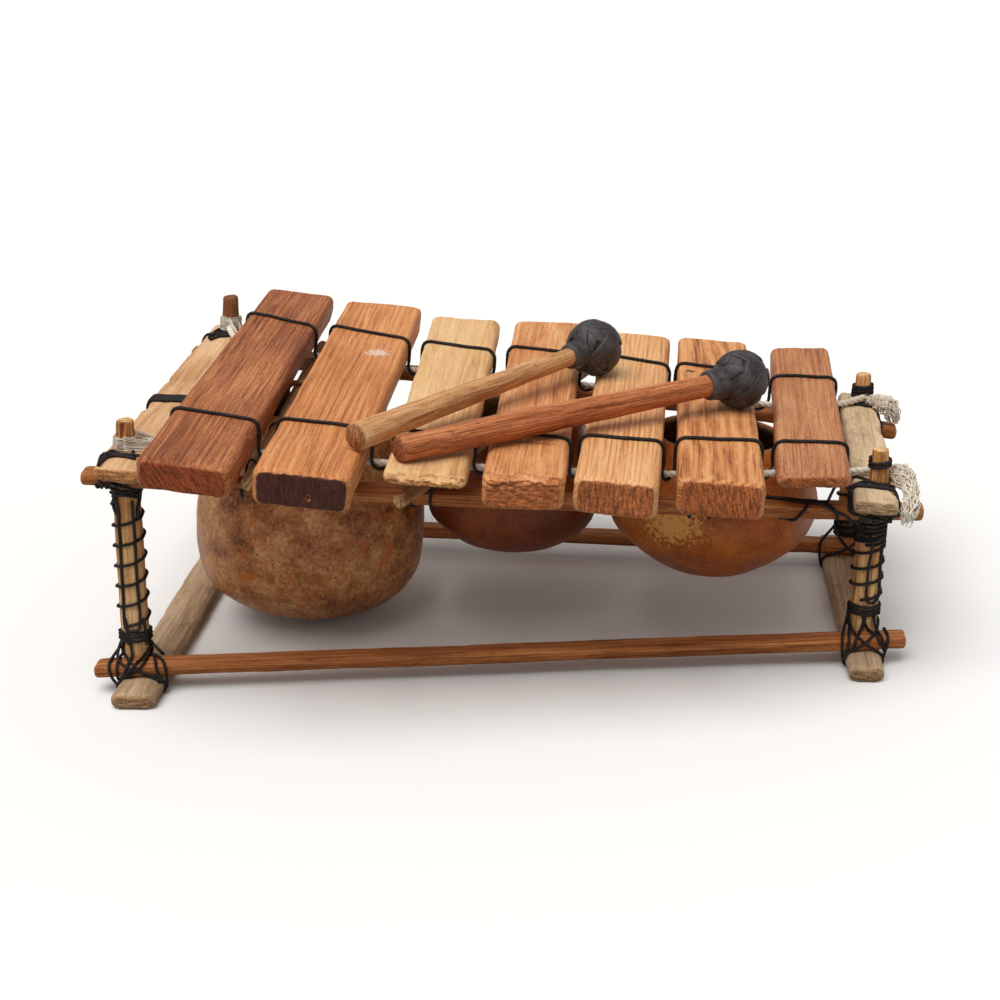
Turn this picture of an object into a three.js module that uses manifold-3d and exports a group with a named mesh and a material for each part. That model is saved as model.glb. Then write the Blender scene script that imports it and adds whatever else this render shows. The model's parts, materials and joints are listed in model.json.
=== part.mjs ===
// A small balafon: a lashed wooden frame carries seven tuned bars over two cotton strands,
// with a gourd resonator under each group of bars and two rubber-headed mallets on top.
// Millimetres, +Z up, +X from the bass bars to the treble bars, +Y away from the player.

import * as THREE from 'three';
import { mergeVertices } from 'three/addons/utils/BufferGeometryUtils.js';
import Module from 'manifold-3d';

const wasm = await Module();
wasm.setup();

// Clearances and small shared sizes
const seatGap = 0.3;
const cutOverrun = 6;
const cordRadius = 1;
const cordSides = 5;
const cordSpacing = 0.6;

// Frame plan: distances of the post axes from the middle line of the strands
const postSpan = 444;
const frontPostLeft = 117;
const frontPostRight = 67;
const backPostLeft = 153;
const backPostRight = 104;
const backFootLeft = 141;
const backFootRight = 97;

// How far each post stands to the right of its end of the span, on the ground and at the rails
const postLean = {
  frontLeft: { foot: -6.9, top: -3.7 }, frontRight: { foot: -1.2, top: 4.2 },
  backLeft: { foot: -1, top: 3 }, backRight: { foot: 0.3, top: 5.8 },
};

// Frame heights: the underside of the upper rails above the ground at each post line
const deckHeightLeft = 133.2;
const deckHeightRight = 95.6;

// Laths and boards
const railDepth = 15;
const railHeight = 8.6;
const railEdge = 1.6;
const railBowFront = 7.8;
const railBowBack = 9;
const railPointsAlong = 10;
const upperRailOverhang = { frontLeft: 25, frontRight: 33.5, backLeft: 20, backRight: 30 };
const lowerRailOverhang = { frontLeft: 27.5, frontRight: 25.5, backLeft: 18, backRight: 20 };
const footBoard = { thickness: 10, frontOverhang: 24.5, backOverhang: 13, edge: 3 };
const topBoard = { thickness: 8.8, frontOverhang: 15, backOverhang: 9, edge: 1.8 };
const footBoardWidth = { frontLeft: 27.5, frontRight: 22.5, backLeft: 25.5, backRight: 27 };
const topBoardWidth = { frontLeft: 27.5, frontRight: 26.5, backLeft: 26, backRight: 25 };

// How far the middle of a board lies to the right of the post that it meets
const footBoardAside = { frontLeft: 8.7, frontRight: -0.3, backLeft: 3.5, backRight: -5.3 };
const topBoardAside = { frontLeft: 4, frontRight: -1.4, backLeft: -1.2, backRight: -1.3 };

// Posts and the pegs whittled on their tops
const postRadius = 8.8;
const pegRootRadius = 6.6;
const pegTipRadius = 5.6;
const pegEdge = 1;
const pegAside = 2;
const pegHoleClearance = 1;
const pegRise = { frontLeft: 18, frontRight: 21, backLeft: 25, backRight: 18.5 };

// Suspension strands and the bars' plane above the upper rails
const strandRadius = 2.4;
const strandSides = 6;
const strandSteps = 26;
const strandRunOut = 8;
const barRise = 15;
const bandLift = 2.9;

// Bars from the left: lengths along the bar, widths and thickness across it, the gap to the
// bar before it, how far its middle lies from the middle line, and the slant of its ends.
const firstBarOffset = 23.3;
const bars = [
  { length: 398, frontWidth: 55.5, backWidth: 50, thickness: 17.9, frontTip: 18.6, frontRun: 15, backTip: 14,
    gap: 0, middle: -6, turn: 0.4, frontSlant: -8, backSlant: -8.2 },
  { length: 381, frontWidth: 56.6, backWidth: 55.3, thickness: 18.5, frontTip: 22, frontRun: 15, backTip: 13,
    gap: 11.6, middle: -15.7, turn: 1, frontSlant: -5, backSlant: -4 },
  { length: 348, frontWidth: 46.5, backWidth: 48.7, thickness: 16.6, frontTip: 7, frontRun: 28, backTip: 13,
    gap: 12.1, middle: -14.7, turn: 2, frontSlant: -2.2, backSlant: -2.1 },
  { length: 340.5, frontWidth: 47, backWidth: 48.5, thickness: 18.3, frontTip: 21, frontRun: 15, backTip: 13,
    gap: 9.9, middle: -10, turn: 1.4, frontSlant: 3.6, backSlant: 6.4 },
  { length: 321, frontWidth: 48.7, backWidth: 46.2, thickness: 18.3, frontTip: 22.4, frontRun: 15, backTip: 13,
    gap: 10.3, middle: -14.6, turn: -0.5, frontSlant: -2.5, backSlant: -3.2 },
  { length: 308, frontWidth: 50.6, backWidth: 47.7, thickness: 18.5, frontTip: 23, frontRun: 15, backTip: 13,
    gap: 7.8, middle: -8.6, turn: 0.9, frontSlant: -0.4, backSlant: -2 },
  { length: 282, frontWidth: 44.2, backWidth: 41, thickness: 15.8, frontTip: 9, frontRun: 30, backTip: 12,
    gap: 12.2, middle: 10.9, turn: -0.5, frontSlant: 11.1, backSlant: 12.5 },
];
const barEdge = 4;
const barTipInset = 3;
const barTipRun = 5;
const barBackRun = 15;
const barArchDepth = 3;
const archHalfShare = 0.21;
const archStepShare = 0.6;
const archStepDepthShare = 0.75;
const tipDropShare = 0.5;
const tipEdgeShare = 0.4;

// Distance of each strand from the middle line beside the first bar, at each bar and beside the
// last; at its ends it passes the pegs at their sides.
const frontStrandReach = [-110, -113.5, -118, -113, -107, -99, -88.5, -68.5, -60];
const backStrandReach = [121, 106, 89.5, 77, 81.5, 73, 67.5, 67.5, 82];
const strandPegAside = 12.1;

// Gourds: mouth centre along the deck and from the middle line, greatest radius, height and
// wall; the outline is given as shares of the radius and of the height, from the bottom up.
const gourds = [
  { along: -131.2, across: -5, radius: 75.2, height: 143, wall: 4,
    outlineShares: [[0, 0], [0.26, 0.007], [0.52, 0.038], [0.735, 0.093], [0.916, 0.19], [0.987, 0.314],
      [1, 0.42], [0.985, 0.53], [0.91, 0.66], [0.78, 0.79], [0.66, 0.9], [0.62, 1]] },
  { along: 0.4, across: 6.8, radius: 56.2, height: 90.5, wall: 3.6,
    outlineShares: [[0, 0], [0.37, 0.016], [0.64, 0.066], [0.86, 0.165], [0.965, 0.25],
      [1, 0.39], [0.985, 0.55], [0.92, 0.7], [0.84, 0.84], [0.79, 0.93], [0.77, 1]] },
  { along: 131, across: -6.6, radius: 68.2, height: 91, wall: 4,
    outlineShares: [[0, 0], [0.27, 0.011], [0.466, 0.054], [0.664, 0.15], [0.78, 0.225], [0.904, 0.32],
      [0.966, 0.41], [1, 0.52], [0.975, 0.65], [0.85, 0.8], [0.7, 0.93], [0.62, 1]] },
];
const gourdSides = 22;
const gourdSteps = 11;
const mouthAboveStick = 7.6;
const stickHoleClearance = 0.9;

// Cross sticks: where the front and back ends lie along the deck and from the middle line
const crossStickRadius = 4.4;
const crossStickSides = 10;
const crossSticks = [
  { frontAlong: -144.5, front: -154, backAlong: -151, back: 152 },
  { frontAlong: -54.5, front: -162, backAlong: 39, back: 138 },
  { frontAlong: 119, front: -121, backAlong: 151, back: 110 },
];

// Mallets: butt end and head centre on the deck, and their radii
const malletHeadRadius = 18.4;
const malletStripRise = 0.9;
const malletBoreDepth = 24;
const mallets = [
  { buttAlong: -81, butt: -162, headAlong: 46.6, head: 34, buttRadius: 8.6, bellyRadius: 7.6, neckRadius: 5.8,
    collar: 9.5, buttBar: 2, headBar: 5, headDip: 0.8 },
  { buttAlong: -55, butt: -170, headAlong: 141, head: -16, buttRadius: 7.8, bellyRadius: 8.9, neckRadius: 6.9,
    collar: 8.5, buttBar: 3, headBar: 6, headDip: 0 },
];
const buttEdgeShare = 0.85;
const buttRunShare = 0.01;
const bellyShare = 0.33;
const collarRise = 1.6;
const collarShoulder = 3;
const collarBase = 4;
const collarShoulderShare = 0.15;
const stripTilts = [[1, 0.2, 0.3], [-0.3, 1, 0.35], [0.4, -0.5, 1], [0.8, 0.7, -0.5]];
const stripWidthShare = 0.36;
const malletSides = 12;

// Lashings
const footWrapTurns = 3;
const footWrapFloor = 26;
const ladderFloor = 38;
const ladderTopGap = 16;
const ladderPitch = { left: 13.4, right: 10.4 };
const windingSteps = 8;
const cottonRadius = 1.1;
const crossHalf = 4;
const crossLift = 0.7;
const boardBand = { turns: 5, from: -23 };
const railTie = { reach: 66, knot: 38, turn: 26, bend: 2, end: 3 };
const outerLoop = 3;
const wrapLift = 3;
const outerDrop = 6;
const topWrapDrop = 5;
const topLoopDrop = 2.4;
const boardCordReach = 15;
const ladderLoopDrop = 1.4;
const footGroove = { front: 27, back: 18.5, depth: 3.1 };

// Frayed cotton ends at the right pegs: places to the right of the strand's end, behind it and
// above the upper rails' underside, with the tuft's radius at each
const tufts = [
  { name: 'front', path: [[2.2, 1.2, 21.4], [5.5, 0.2, 22.4], [11, -3.5, 24.4], [15.5, -9, 25.8],
    [19.6, -16, 25.2], [22.6, -24, 22.5], [23.4, -32, 19], [22.8, -38.5, 14.5], [21.6, -42.5, 9],
    [20.8, -43.5, 2.5]],
  radii: [2.2, 2.6, 4, 6.2, 6, 4.2, 4.2, 5, 5.2, 2.8] },
  { name: 'back', path: [[2.2, 0.8, 23.6], [7, -1, 24.2], [12, -5, 25.5], [17, -11, 26], [21, -15, 24.5],
    [23.5, -17, 19], [24, -17.5, 13.5]],
  radii: [2.2, 3, 4.2, 5.8, 6.2, 5, 2.6] },
];

const slope = Math.atan((deckHeightLeft - deckHeightRight) / postSpan);
const halfSpan = postSpan / 2;
const deckHalf = halfSpan / Math.cos(slope);
const deckMiddle = (deckHeightLeft + deckHeightRight) / 2;
const boardFloor = railHeight + seatGap;
const boardTop = boardFloor + topBoard.thickness;
const barFloor = railHeight + barRise;
const strandLevel = barFloor - seatGap - strandRadius;

const colours = {
  footWood: 0xa08a6c,
  topWood: 0xc9a67c,
  railWood: 0x8a4a2a,
  postWood: 0xc8a066,
  cord: 0x1c1a1b,
  cotton: 0xbdb0a2,
  gourd: [0x7d6a58, 0x5a3325, 0x9a5a30],
  bar: [0x7c4226, 0xa5622f, 0xd3b083, 0xb87a43, 0xc98a52, 0xb66c38, 0x8f4c2c],
  stick: [0xc09a6c, 0x9c5a3a],
  rubber: 0x2c2b2d,
};

const balafon = new THREE.Group();
const deck = new THREE.Group();
deck.position.z = deckMiddle;
deck.rotation.y = slope;
balafon.add(deck);
balafon.updateMatrixWorld(true);

function addPiece(parent, name, geometry, color, roughness = 0.7) {
  const material = new THREE.MeshStandardMaterial({ color, roughness, metalness: 0 });
  const piece = new THREE.Mesh(geometry, material);
  piece.name = name;
  parent.add(piece);
  return piece;
}

function mix(from, to, share) {
  return from + (to - from) * share;
}

// Solids from rings of points

function signedVolume(geometry) {
  const flat = geometry.index ? geometry.toNonIndexed() : geometry;
  const p = flat.attributes.position;
  const a = new THREE.Vector3();
  const b = new THREE.Vector3();
  const c = new THREE.Vector3();
  let sum = 0;
  for (let i = 0; i < p.count; i += 3) {
    a.fromBufferAttribute(p, i);
    b.fromBufferAttribute(p, i + 1);
    c.fromBufferAttribute(p, i + 2);
    sum += a.dot(b.cross(c));
  }
  return sum;
}

function fromTriangles(points, triangles) {
  const geometry = new THREE.BufferGeometry();
  const places = points.flatMap((v) => [v.x, v.y, v.z]);
  geometry.setAttribute('position', new THREE.Float32BufferAttribute(places, 3));
  geometry.setIndex(triangles);
  if (signedVolume(geometry) < 0) {
    const turned = [];
    for (let i = 0; i < triangles.length; i += 3) turned.push(triangles[i], triangles[i + 2], triangles[i + 1]);
    geometry.setIndex(turned);
  }
  return geometry;
}

function loft(rings) {
  const sides = rings[0].length;
  const points = rings.flat();
  const triangles = [];
  for (let r = 0; r < rings.length - 1; r += 1) {
    for (let s = 0; s < sides; s += 1) {
      const a = r * sides + s;
      const b = r * sides + ((s + 1) % sides);
      triangles.push(a, b, a + sides, b, b + sides, a + sides);
    }
  }
  const last = (rings.length - 1) * sides;
  for (let s = 1; s < sides - 1; s += 1) {
    triangles.push(0, s + 1, s);
    triangles.push(last, last + s, last + s + 1);
  }
  return fromTriangles(points, triangles);
}

function toSolid(geometry) {
  const bare = geometry.clone();
  bare.deleteAttribute('normal');
  bare.deleteAttribute('uv');
  const merged = mergeVertices(bare);
  return new wasm.Manifold(new wasm.Mesh({
    numProp: 3,
    vertProperties: new Float32Array(merged.attributes.position.array),
    triVerts: new Uint32Array(merged.index.array),
  }));
}

function toGeometry(solid) {
  const mesh = solid.getMesh();
  const geometry = new THREE.BufferGeometry();
  geometry.setAttribute('position', new THREE.BufferAttribute(new Float32Array(mesh.vertProperties), 3));
  geometry.setIndex(new THREE.BufferAttribute(new Uint32Array(mesh.triVerts), 1));
  return geometry;
}

// A cord follows a list of points; each step of its tube ends on one of them.
class CordRoute extends THREE.Curve {
  constructor(points) {
    super();
    this.points = points;
  }

  getPoint(share, target = new THREE.Vector3()) {
    const place = share * (this.points.length - 1);
    const index = Math.min(Math.floor(place + 1e-6), this.points.length - 2);
    return target.lerpVectors(this.points[index], this.points[index + 1], place - index);
  }

  getPointAt(share, target) {
    return this.getPoint(share, target);
  }

  getTangentAt(share, target = new THREE.Vector3()) {
    const last = this.points.length - 1;
    const index = Math.round(share * last);
    const before = this.points[Math.max(index - 1, 0)];
    const after = this.points[Math.min(index + 1, last)];
    const here = this.points[index];
    const arriving = here.clone().sub(before).normalize();
    const leaving = after.clone().sub(here).normalize();
    return target.copy(arriving).add(leaving).normalize();
  }
}

function cordTube(points, radius, sides = cordSides) {
  const section = new THREE.Shape();
  for (let s = 0; s < sides; s += 1) {
    const angle = (2 * Math.PI * s) / sides;
    if (s === 0) section.moveTo(radius * Math.cos(angle), radius * Math.sin(angle));
    else section.lineTo(radius * Math.cos(angle), radius * Math.sin(angle));
  }
  section.closePath();
  const route = new CordRoute(points);
  return new THREE.ExtrudeGeometry(section, { steps: points.length - 1, extrudePath: route, bevelEnabled: false });
}

function segmentGap(a, b, c, d) {
  const u = b.clone().sub(a);
  const v = d.clone().sub(c);
  const w = a.clone().sub(c);
  const uu = u.dot(u);
  const uv = u.dot(v);
  const vv = v.dot(v);
  const uw = u.dot(w);
  const vw = v.dot(w);
  const area = uu * vv - uv * uv;
  let s = area > 1e-9 ? THREE.MathUtils.clamp((uv * vw - vv * uw) / area, 0, 1) : 0;
  const t = THREE.MathUtils.clamp((uv * s + vw) / vv, 0, 1);
  s = THREE.MathUtils.clamp((uv * t - uw) / uu, 0, 1);
  return a.clone().addScaledVector(u, s).distanceTo(c.clone().addScaledVector(v, t));
}

// The least clear distance between two turns of one cord, past its near neighbourhood, which
// reaches this many radii along the cord
const nearTurnShare = 7;

function leastSelfGap(points, radius) {
  const along = [0];
  for (let i = 1; i < points.length; i += 1) along.push(along[i - 1] + points[i].distanceTo(points[i - 1]));
  const near = radius * nearTurnShare;
  let least = Infinity;
  for (let i = 0; i < points.length - 1; i += 1) {
    for (let j = i + 2; j < points.length - 1; j += 1) {
      if (along[j] - along[i + 1] < near) continue;
      least = Math.min(least, segmentGap(points[i], points[i + 1], points[j], points[j + 1]) - 2 * radius);
    }
  }
  return least;
}

// Rings for laths and boards: an eight-cornered section, width by height, with cut edges
function sectionRing(width, height, edge, place) {
  const w = width / 2;
  const h = height / 2;
  const corners = [[w, h - edge], [w - edge, h], [edge - w, h], [-w, h - edge],
    [-w, edge - h], [edge - w, -h], [w - edge, -h], [w, edge - h]];
  return corners.map(([across, up]) => place(across, up));
}

function ovalRing(radius, sides, place) {
  const ring = [];
  for (let s = 0; s < sides; s += 1) {
    const angle = (2 * Math.PI * (s + 0.5)) / sides;
    ring.push(place(radius * Math.cos(angle), radius * Math.sin(angle)));
  }
  return ring;
}

// Lines of the frame, as distances from the middle line at a share of the post span

const postToRail = postRadius + seatGap + railDepth / 2;

function acrossAt(left, right, along, half = halfSpan) {
  return mix(left, right, (along + half) / (2 * half));
}

function bowAt(depth, along, half) {
  const share = (along + half) / (2 * half);
  return depth * 4 * share * (1 - share);
}

const lines = {
  lowerFront: (along) => -acrossAt(frontPostLeft, frontPostRight, along) - postToRail,
  lowerBack: (along) => acrossAt(backFootLeft, backFootRight, along) - postToRail,
  upperFront: (along) => -acrossAt(frontPostLeft, frontPostRight, along, deckHalf) - postToRail
    - bowAt(railBowFront, along, deckHalf),
  upperBack: (along) => acrossAt(backPostLeft, backPostRight, along, deckHalf) - postToRail
    + bowAt(railBowBack, along, deckHalf),
};

function railGeometry(line, from, to, floor) {
  const rings = [];
  const inset = railEdge;
  const places = [from, from + inset];
  for (let i = 1; i < railPointsAlong - 1; i += 1) places.push(mix(from, to, i / (railPointsAlong - 1)));
  places.push(to - inset, to);
  for (let i = 0; i < places.length; i += 1) {
    const atEnd = i === 0 || i === places.length - 1;
    const trim = atEnd ? 2 * inset : 0;
    rings.push(sectionRing(railDepth - trim, railHeight - trim, railEdge - (atEnd ? railEdge / 2 : 0),
      (across, up) => new THREE.Vector3(places[i], line(places[i]) + across, floor + railHeight / 2 + up)));
  }
  return loft(rings);
}

function addRails() {
  const lowerFloor = footBoard.thickness + seatGap;
  addPiece(balafon, 'lower_rail_front', railGeometry(lines.lowerFront, -halfSpan - lowerRailOverhang.frontLeft,
    halfSpan + lowerRailOverhang.frontRight, lowerFloor), colours.railWood, 0.6);
  addPiece(balafon, 'lower_rail_back', railGeometry(lines.lowerBack, -halfSpan - lowerRailOverhang.backLeft,
    halfSpan + lowerRailOverhang.backRight, lowerFloor), colours.railWood, 0.6);
  addPiece(deck, 'upper_rail_front', railGeometry(lines.upperFront, -deckHalf - upperRailOverhang.frontLeft,
    deckHalf + upperRailOverhang.frontRight, 0), colours.railWood, 0.6);
  addPiece(deck, 'upper_rail_back', railGeometry(lines.upperBack, -deckHalf - upperRailOverhang.backLeft,
    deckHalf + upperRailOverhang.backRight, 0), colours.railWood, 0.6);
}

// Posts: an eight-sided shaft with a shoulder under the upper board and a tapered peg on top

const corners = [
  { name: 'front_left', along: -halfSpan,
    lean: postLean.frontLeft, footWidth: footBoardWidth.frontLeft, topWidth: topBoardWidth.frontLeft,
    footAside: footBoardAside.frontLeft, topAside: topBoardAside.frontLeft, rise: pegRise.frontLeft,
    lower: lines.lowerFront, upper: lines.upperFront, board: 'left',
    uprights: [-24, 38], front: true, ladderPitch: ladderPitch.left,
    winding: { rise: 2.6, turns: 5, radius: cottonRadius, color: colours.cotton } },
  { name: 'front_right', along: halfSpan,
    lean: postLean.frontRight, footWidth: footBoardWidth.frontRight, topWidth: topBoardWidth.frontRight,
    footAside: footBoardAside.frontRight, topAside: topBoardAside.frontRight, rise: pegRise.frontRight,
    lower: lines.lowerFront, upper: lines.upperFront, board: 'right',
    uprights: [0, 52], front: true, ladderPitch: ladderPitch.right,
    winding: { rise: 8.5, turns: 2.5, radius: cordRadius, color: colours.cord } },
  { name: 'back_left', along: -halfSpan,
    lean: postLean.backLeft, footWidth: footBoardWidth.backLeft, topWidth: topBoardWidth.backLeft,
    footAside: footBoardAside.backLeft, topAside: topBoardAside.backLeft, rise: pegRise.backLeft,
    lower: lines.lowerBack, upper: lines.upperBack, board: 'left',
    uprights: [-24, 38], front: false, ladderPitch: ladderPitch.left,
    winding: { rise: 2.6, turns: 4, radius: cottonRadius, color: colours.cotton } },
  { name: 'back_right', along: halfSpan,
    lean: postLean.backRight, footWidth: footBoardWidth.backRight, topWidth: topBoardWidth.backRight,
    footAside: footBoardAside.backRight, topAside: topBoardAside.backRight, rise: pegRise.backRight,
    lower: lines.lowerBack, upper: lines.upperBack, board: 'right',
    uprights: [-10, 46], front: false, ladderPitch: ladderPitch.right,
    winding: { rise: 3.4, turns: 3, radius: cordRadius, color: colours.cord } },
];

for (const corner of corners) {
  corner.footAlong = corner.along + corner.lean.foot;
  corner.topAlong = corner.along + corner.lean.top;
  corner.deckAlong = corner.topAlong / Math.cos(slope);
  corner.deckZ = deckMiddle - corner.topAlong * Math.tan(slope);
  corner.foot = corner.lower(corner.footAlong) + postToRail;
  corner.top = corner.upper(corner.deckAlong) + postToRail;
  corner.shoulder = corner.deckZ + boardFloor / Math.cos(slope) - postRadius * Math.tan(slope) - seatGap;
  corner.tip = corner.deckZ + boardTop / Math.cos(slope) + corner.rise;
  corner.axisX = (height) => mix(corner.footAlong, corner.topAlong, height / corner.deckZ);
  corner.axisY = (height) => mix(corner.foot, corner.top, height / corner.deckZ);
  corner.pegX = (height) => corner.axisX(height) + pegAside;
}

const [frontLeft, frontRight, backLeft, backRight] = corners;

function postGeometry(corner) {
  const foot = footBoard.thickness + seatGap;
  const levels = [
    [corner.axisX, foot, postRadius - railEdge / 2],
    [corner.axisX, foot + railEdge, postRadius],
    [corner.axisX, corner.shoulder, postRadius],
    [corner.pegX, corner.shoulder, pegRootRadius],
    [corner.pegX, corner.tip - pegEdge, pegTipRadius],
    [corner.pegX, corner.tip, pegTipRadius - pegEdge],
  ];
  return loft(levels.map(([axis, height, radius]) => postRing(corner, axis, radius, 8, height)));
}

function postRing(corner, axis, radius, sides, height) {
  return ovalRing(radius, sides, (x, y) => new THREE.Vector3(axis(height) + x, corner.axisY(height) + y, height));
}

function addPosts() {
  for (const corner of corners) {
    addPiece(balafon, `post_${corner.name}`, postGeometry(corner), colours.postWood, 0.75);
  }
}

// Boards: the lower ones are feet with a groove for the lashing in the underside; the upper
// ones are pierced by the pegs.

// The middle and the half width of a board, at any distance from the middle line
function boardLine(front, back) {
  const share = (y) => (y - front.across) / (back.across - front.across);
  return {
    middle: (y) => mix(front.along, back.along, share(y)),
    half: (y) => mix(front.width, back.width, share(y)) / 2,
  };
}

function footEnd(corner) {
  return { along: corner.footAlong + corner.footAside, across: corner.foot, width: corner.footWidth };
}

function topEnd(corner) {
  return { along: corner.deckAlong + corner.topAside, across: corner.top, width: corner.topWidth };
}

for (const [front, back] of [[frontLeft, backLeft], [frontRight, backRight]]) {
  const footLine = boardLine(footEnd(front), footEnd(back));
  const topLine = boardLine(topEnd(front), topEnd(back));
  Object.assign(front, { footLine, topLine });
  Object.assign(back, { footLine, topLine });
}

function boardGeometry(line, front, back, floor, size) {
  const stations = [[front, size.edge], [front + size.edge, 0], [back - size.edge, 0], [back, size.edge]];
  const middleLevel = floor + size.thickness / 2;
  return loft(stations.map(([y, trim]) => sectionRing(2 * (line.half(y) - trim), size.thickness - trim, size.edge,
    (across, up) => new THREE.Vector3(line.middle(y) + across, y, middleLevel + up))));
}

function footBoardGeometry(frontEnd, backEnd) {
  const line = frontEnd.footLine;
  const front = frontEnd.lower(frontEnd.footAlong) - railDepth / 2 - footBoard.frontOverhang;
  const back = backEnd.foot + postRadius + footBoard.backOverhang;
  let solid = toSolid(boardGeometry(line, front, back, 0, footBoard));
  for (const corner of [frontEnd, backEnd]) {
    const length = footGroove.front - footGroove.back;
    const place = corner.foot - (footGroove.front + footGroove.back) / 2;
    const cutter = new THREE.BoxGeometry(corner.footWidth + 2 * cutOverrun, length, footGroove.depth + cutOverrun);
    cutter.translate(line.middle(place), place, (footGroove.depth - cutOverrun) / 2);
    solid = solid.subtract(toSolid(cutter));
  }
  return toGeometry(solid);
}

function topBoardGeometry(frontEnd, backEnd) {
  const front = frontEnd.upper(frontEnd.deckAlong) - railDepth / 2 - topBoard.frontOverhang;
  const back = backEnd.top + postRadius + topBoard.backOverhang;
  let solid = toSolid(boardGeometry(frontEnd.topLine, front, back, boardFloor, topBoard));
  const toDeck = deck.matrixWorld.clone().invert();
  for (const corner of [frontEnd, backEnd]) {
    const low = corner.deckZ + boardFloor - cutOverrun;
    const high = corner.deckZ + boardTop + cutOverrun;
    const radius = pegRootRadius + pegHoleClearance;
    const cutter = loft([low, high].map((height) => postRing(corner, corner.pegX, radius, 12, height)));
    cutter.applyMatrix4(toDeck);
    solid = solid.subtract(toSolid(cutter));
  }
  return toGeometry(solid);
}

function addBoards() {
  for (const [side, front, back] of [['left', frontLeft, backLeft], ['right', frontRight, backRight]]) {
    addPiece(balafon, `foot_board_${side}`, footBoardGeometry(front, back), colours.footWood, 0.85);
    addPiece(deck, `top_board_${side}`, topBoardGeometry(front, back), colours.topWood, 0.8);
  }
}

// Strands: cotton bundles from the left pegs to the right pegs, lower under the bars

function barPlaces() {
  let edge = -deckHalf + firstBarOffset;
  return bars.map((bar) => {
    const width = (bar.frontWidth + bar.backWidth) / 2;
    edge += bar.gap;
    const along = edge + width / 2;
    edge += width;
    return along;
  });
}

const barAlong = barPlaces();
const strandEndLift = boardTop + bandLift + seatGap + strandRadius - strandLevel;

function strandPoints(from, to, reach, aside, lift) {
  const last = bars.length - 1;
  const firstSide = barAlong[0] - barHalfWidth(bars[0], 1) - strandRunOut;
  const lastSide = barAlong[last] + barHalfWidth(bars[last], 1) + strandRunOut;
  const along = [firstSide, ...barAlong, lastSide];
  const end = (corner) => new THREE.Vector3(corner.deckAlong + pegAside,
    corner.axisY(corner.deckZ + strandLevel + lift) + aside, strandLevel + lift);
  return [end(from), ...along.map((x, i) => new THREE.Vector3(x, reach[i], strandLevel)), end(to)];
}

const frontStrand = new THREE.CatmullRomCurve3(
  strandPoints(frontLeft, frontRight, frontStrandReach, strandPegAside, 0), false, 'centripetal');
const backStrand = new THREE.CatmullRomCurve3(
  strandPoints(backLeft, backRight, backStrandReach, -strandPegAside, strandEndLift), false, 'centripetal');

function strandReachAt(curve, along) {
  let low = 0;
  let high = 1;
  for (let i = 0; i < 30; i += 1) {
    const middle = (low + high) / 2;
    if (curve.getPoint(middle).x < along) low = middle;
    else high = middle;
  }
  return curve.getPoint(low).y;
}

function addStrands() {
  for (const [name, curve] of [['strand_front', frontStrand], ['strand_back', backStrand]]) {
    addPiece(deck, name, cordTube(curve.getPoints(strandSteps), strandRadius, strandSides), colours.cotton, 0.95);
  }
}

// Bars: rounded section, softened ends, the front tip planed thinner, an arch carved in the
// underside between the two strands.

function barHalfWidth(bar, share) {
  return mix(bar.frontWidth, bar.backWidth, share) / 2;
}

function barSection(halfWidth, floor, top, edge, place) {
  const centres = [[halfWidth - edge, top - edge, 0], [edge - halfWidth, top - edge, 1],
    [edge - halfWidth, floor + edge, 2], [halfWidth - edge, floor + edge, 3]];
  const ring = [];
  for (const [x, z, quarter] of centres) {
    for (let s = 0; s <= 2; s += 1) {
      const angle = (Math.PI / 2) * (quarter + s / 2);
      ring.push(place(x + edge * Math.cos(angle), z + edge * Math.sin(angle)));
    }
  }
  return ring;
}

function barGeometry(bar) {
  const half = bar.length / 2;
  const archHalf = bar.length * archHalfShare;
  const stations = [
    { y: -half, inset: barTipInset, thick: bar.frontTip - barTipInset },
    { y: -half + barTipRun, inset: 0, thick: bar.frontTip },
    { y: -half + barTipRun + bar.frontRun, inset: 0, thick: bar.thickness },
    { y: -archHalf, inset: 0, thick: bar.thickness },
    { y: -archHalf * archStepShare, inset: 0, thick: bar.thickness, arch: archStepDepthShare },
    { y: 0, inset: 0, thick: bar.thickness, arch: 1 },
    { y: archHalf * archStepShare, inset: 0, thick: bar.thickness, arch: archStepDepthShare },
    { y: archHalf, inset: 0, thick: bar.thickness },
    { y: half - barTipRun - barBackRun, inset: 0, thick: bar.thickness },
    { y: half - barTipRun, inset: 0, thick: bar.backTip },
    { y: half, inset: barTipInset, thick: bar.backTip - barTipInset },
  ];
  return loft(stations.map((station) => {
    const share = (station.y + half) / bar.length;
    const halfWidth = barHalfWidth(bar, share) - station.inset;
    const drop = station.inset * tipDropShare;
    const top = bar.thickness - drop;
    const floor = bar.thickness - drop - station.thick + barArchDepth * (station.arch ?? 0);
    const edge = Math.min(barEdge, (top - floor) * tipEdgeShare);
    const slant = mix(bar.frontSlant, bar.backSlant, share) * Math.abs(2 * share - 1);
    return barSection(halfWidth, floor, top, edge, (x, z) => new THREE.Vector3(
      x, station.y + (slant * x) / (2 * halfWidth), z));
  }));
}

function addBars() {
  bars.forEach((bar, i) => {
    const piece = addPiece(deck, `bar_${i + 1}`, barGeometry(bar), colours.bar[i], 0.55);
    piece.position.set(barAlong[i], bar.middle, barFloor);
    piece.rotation.z = THREE.MathUtils.degToRad(bar.turn);
  });
}

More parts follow.
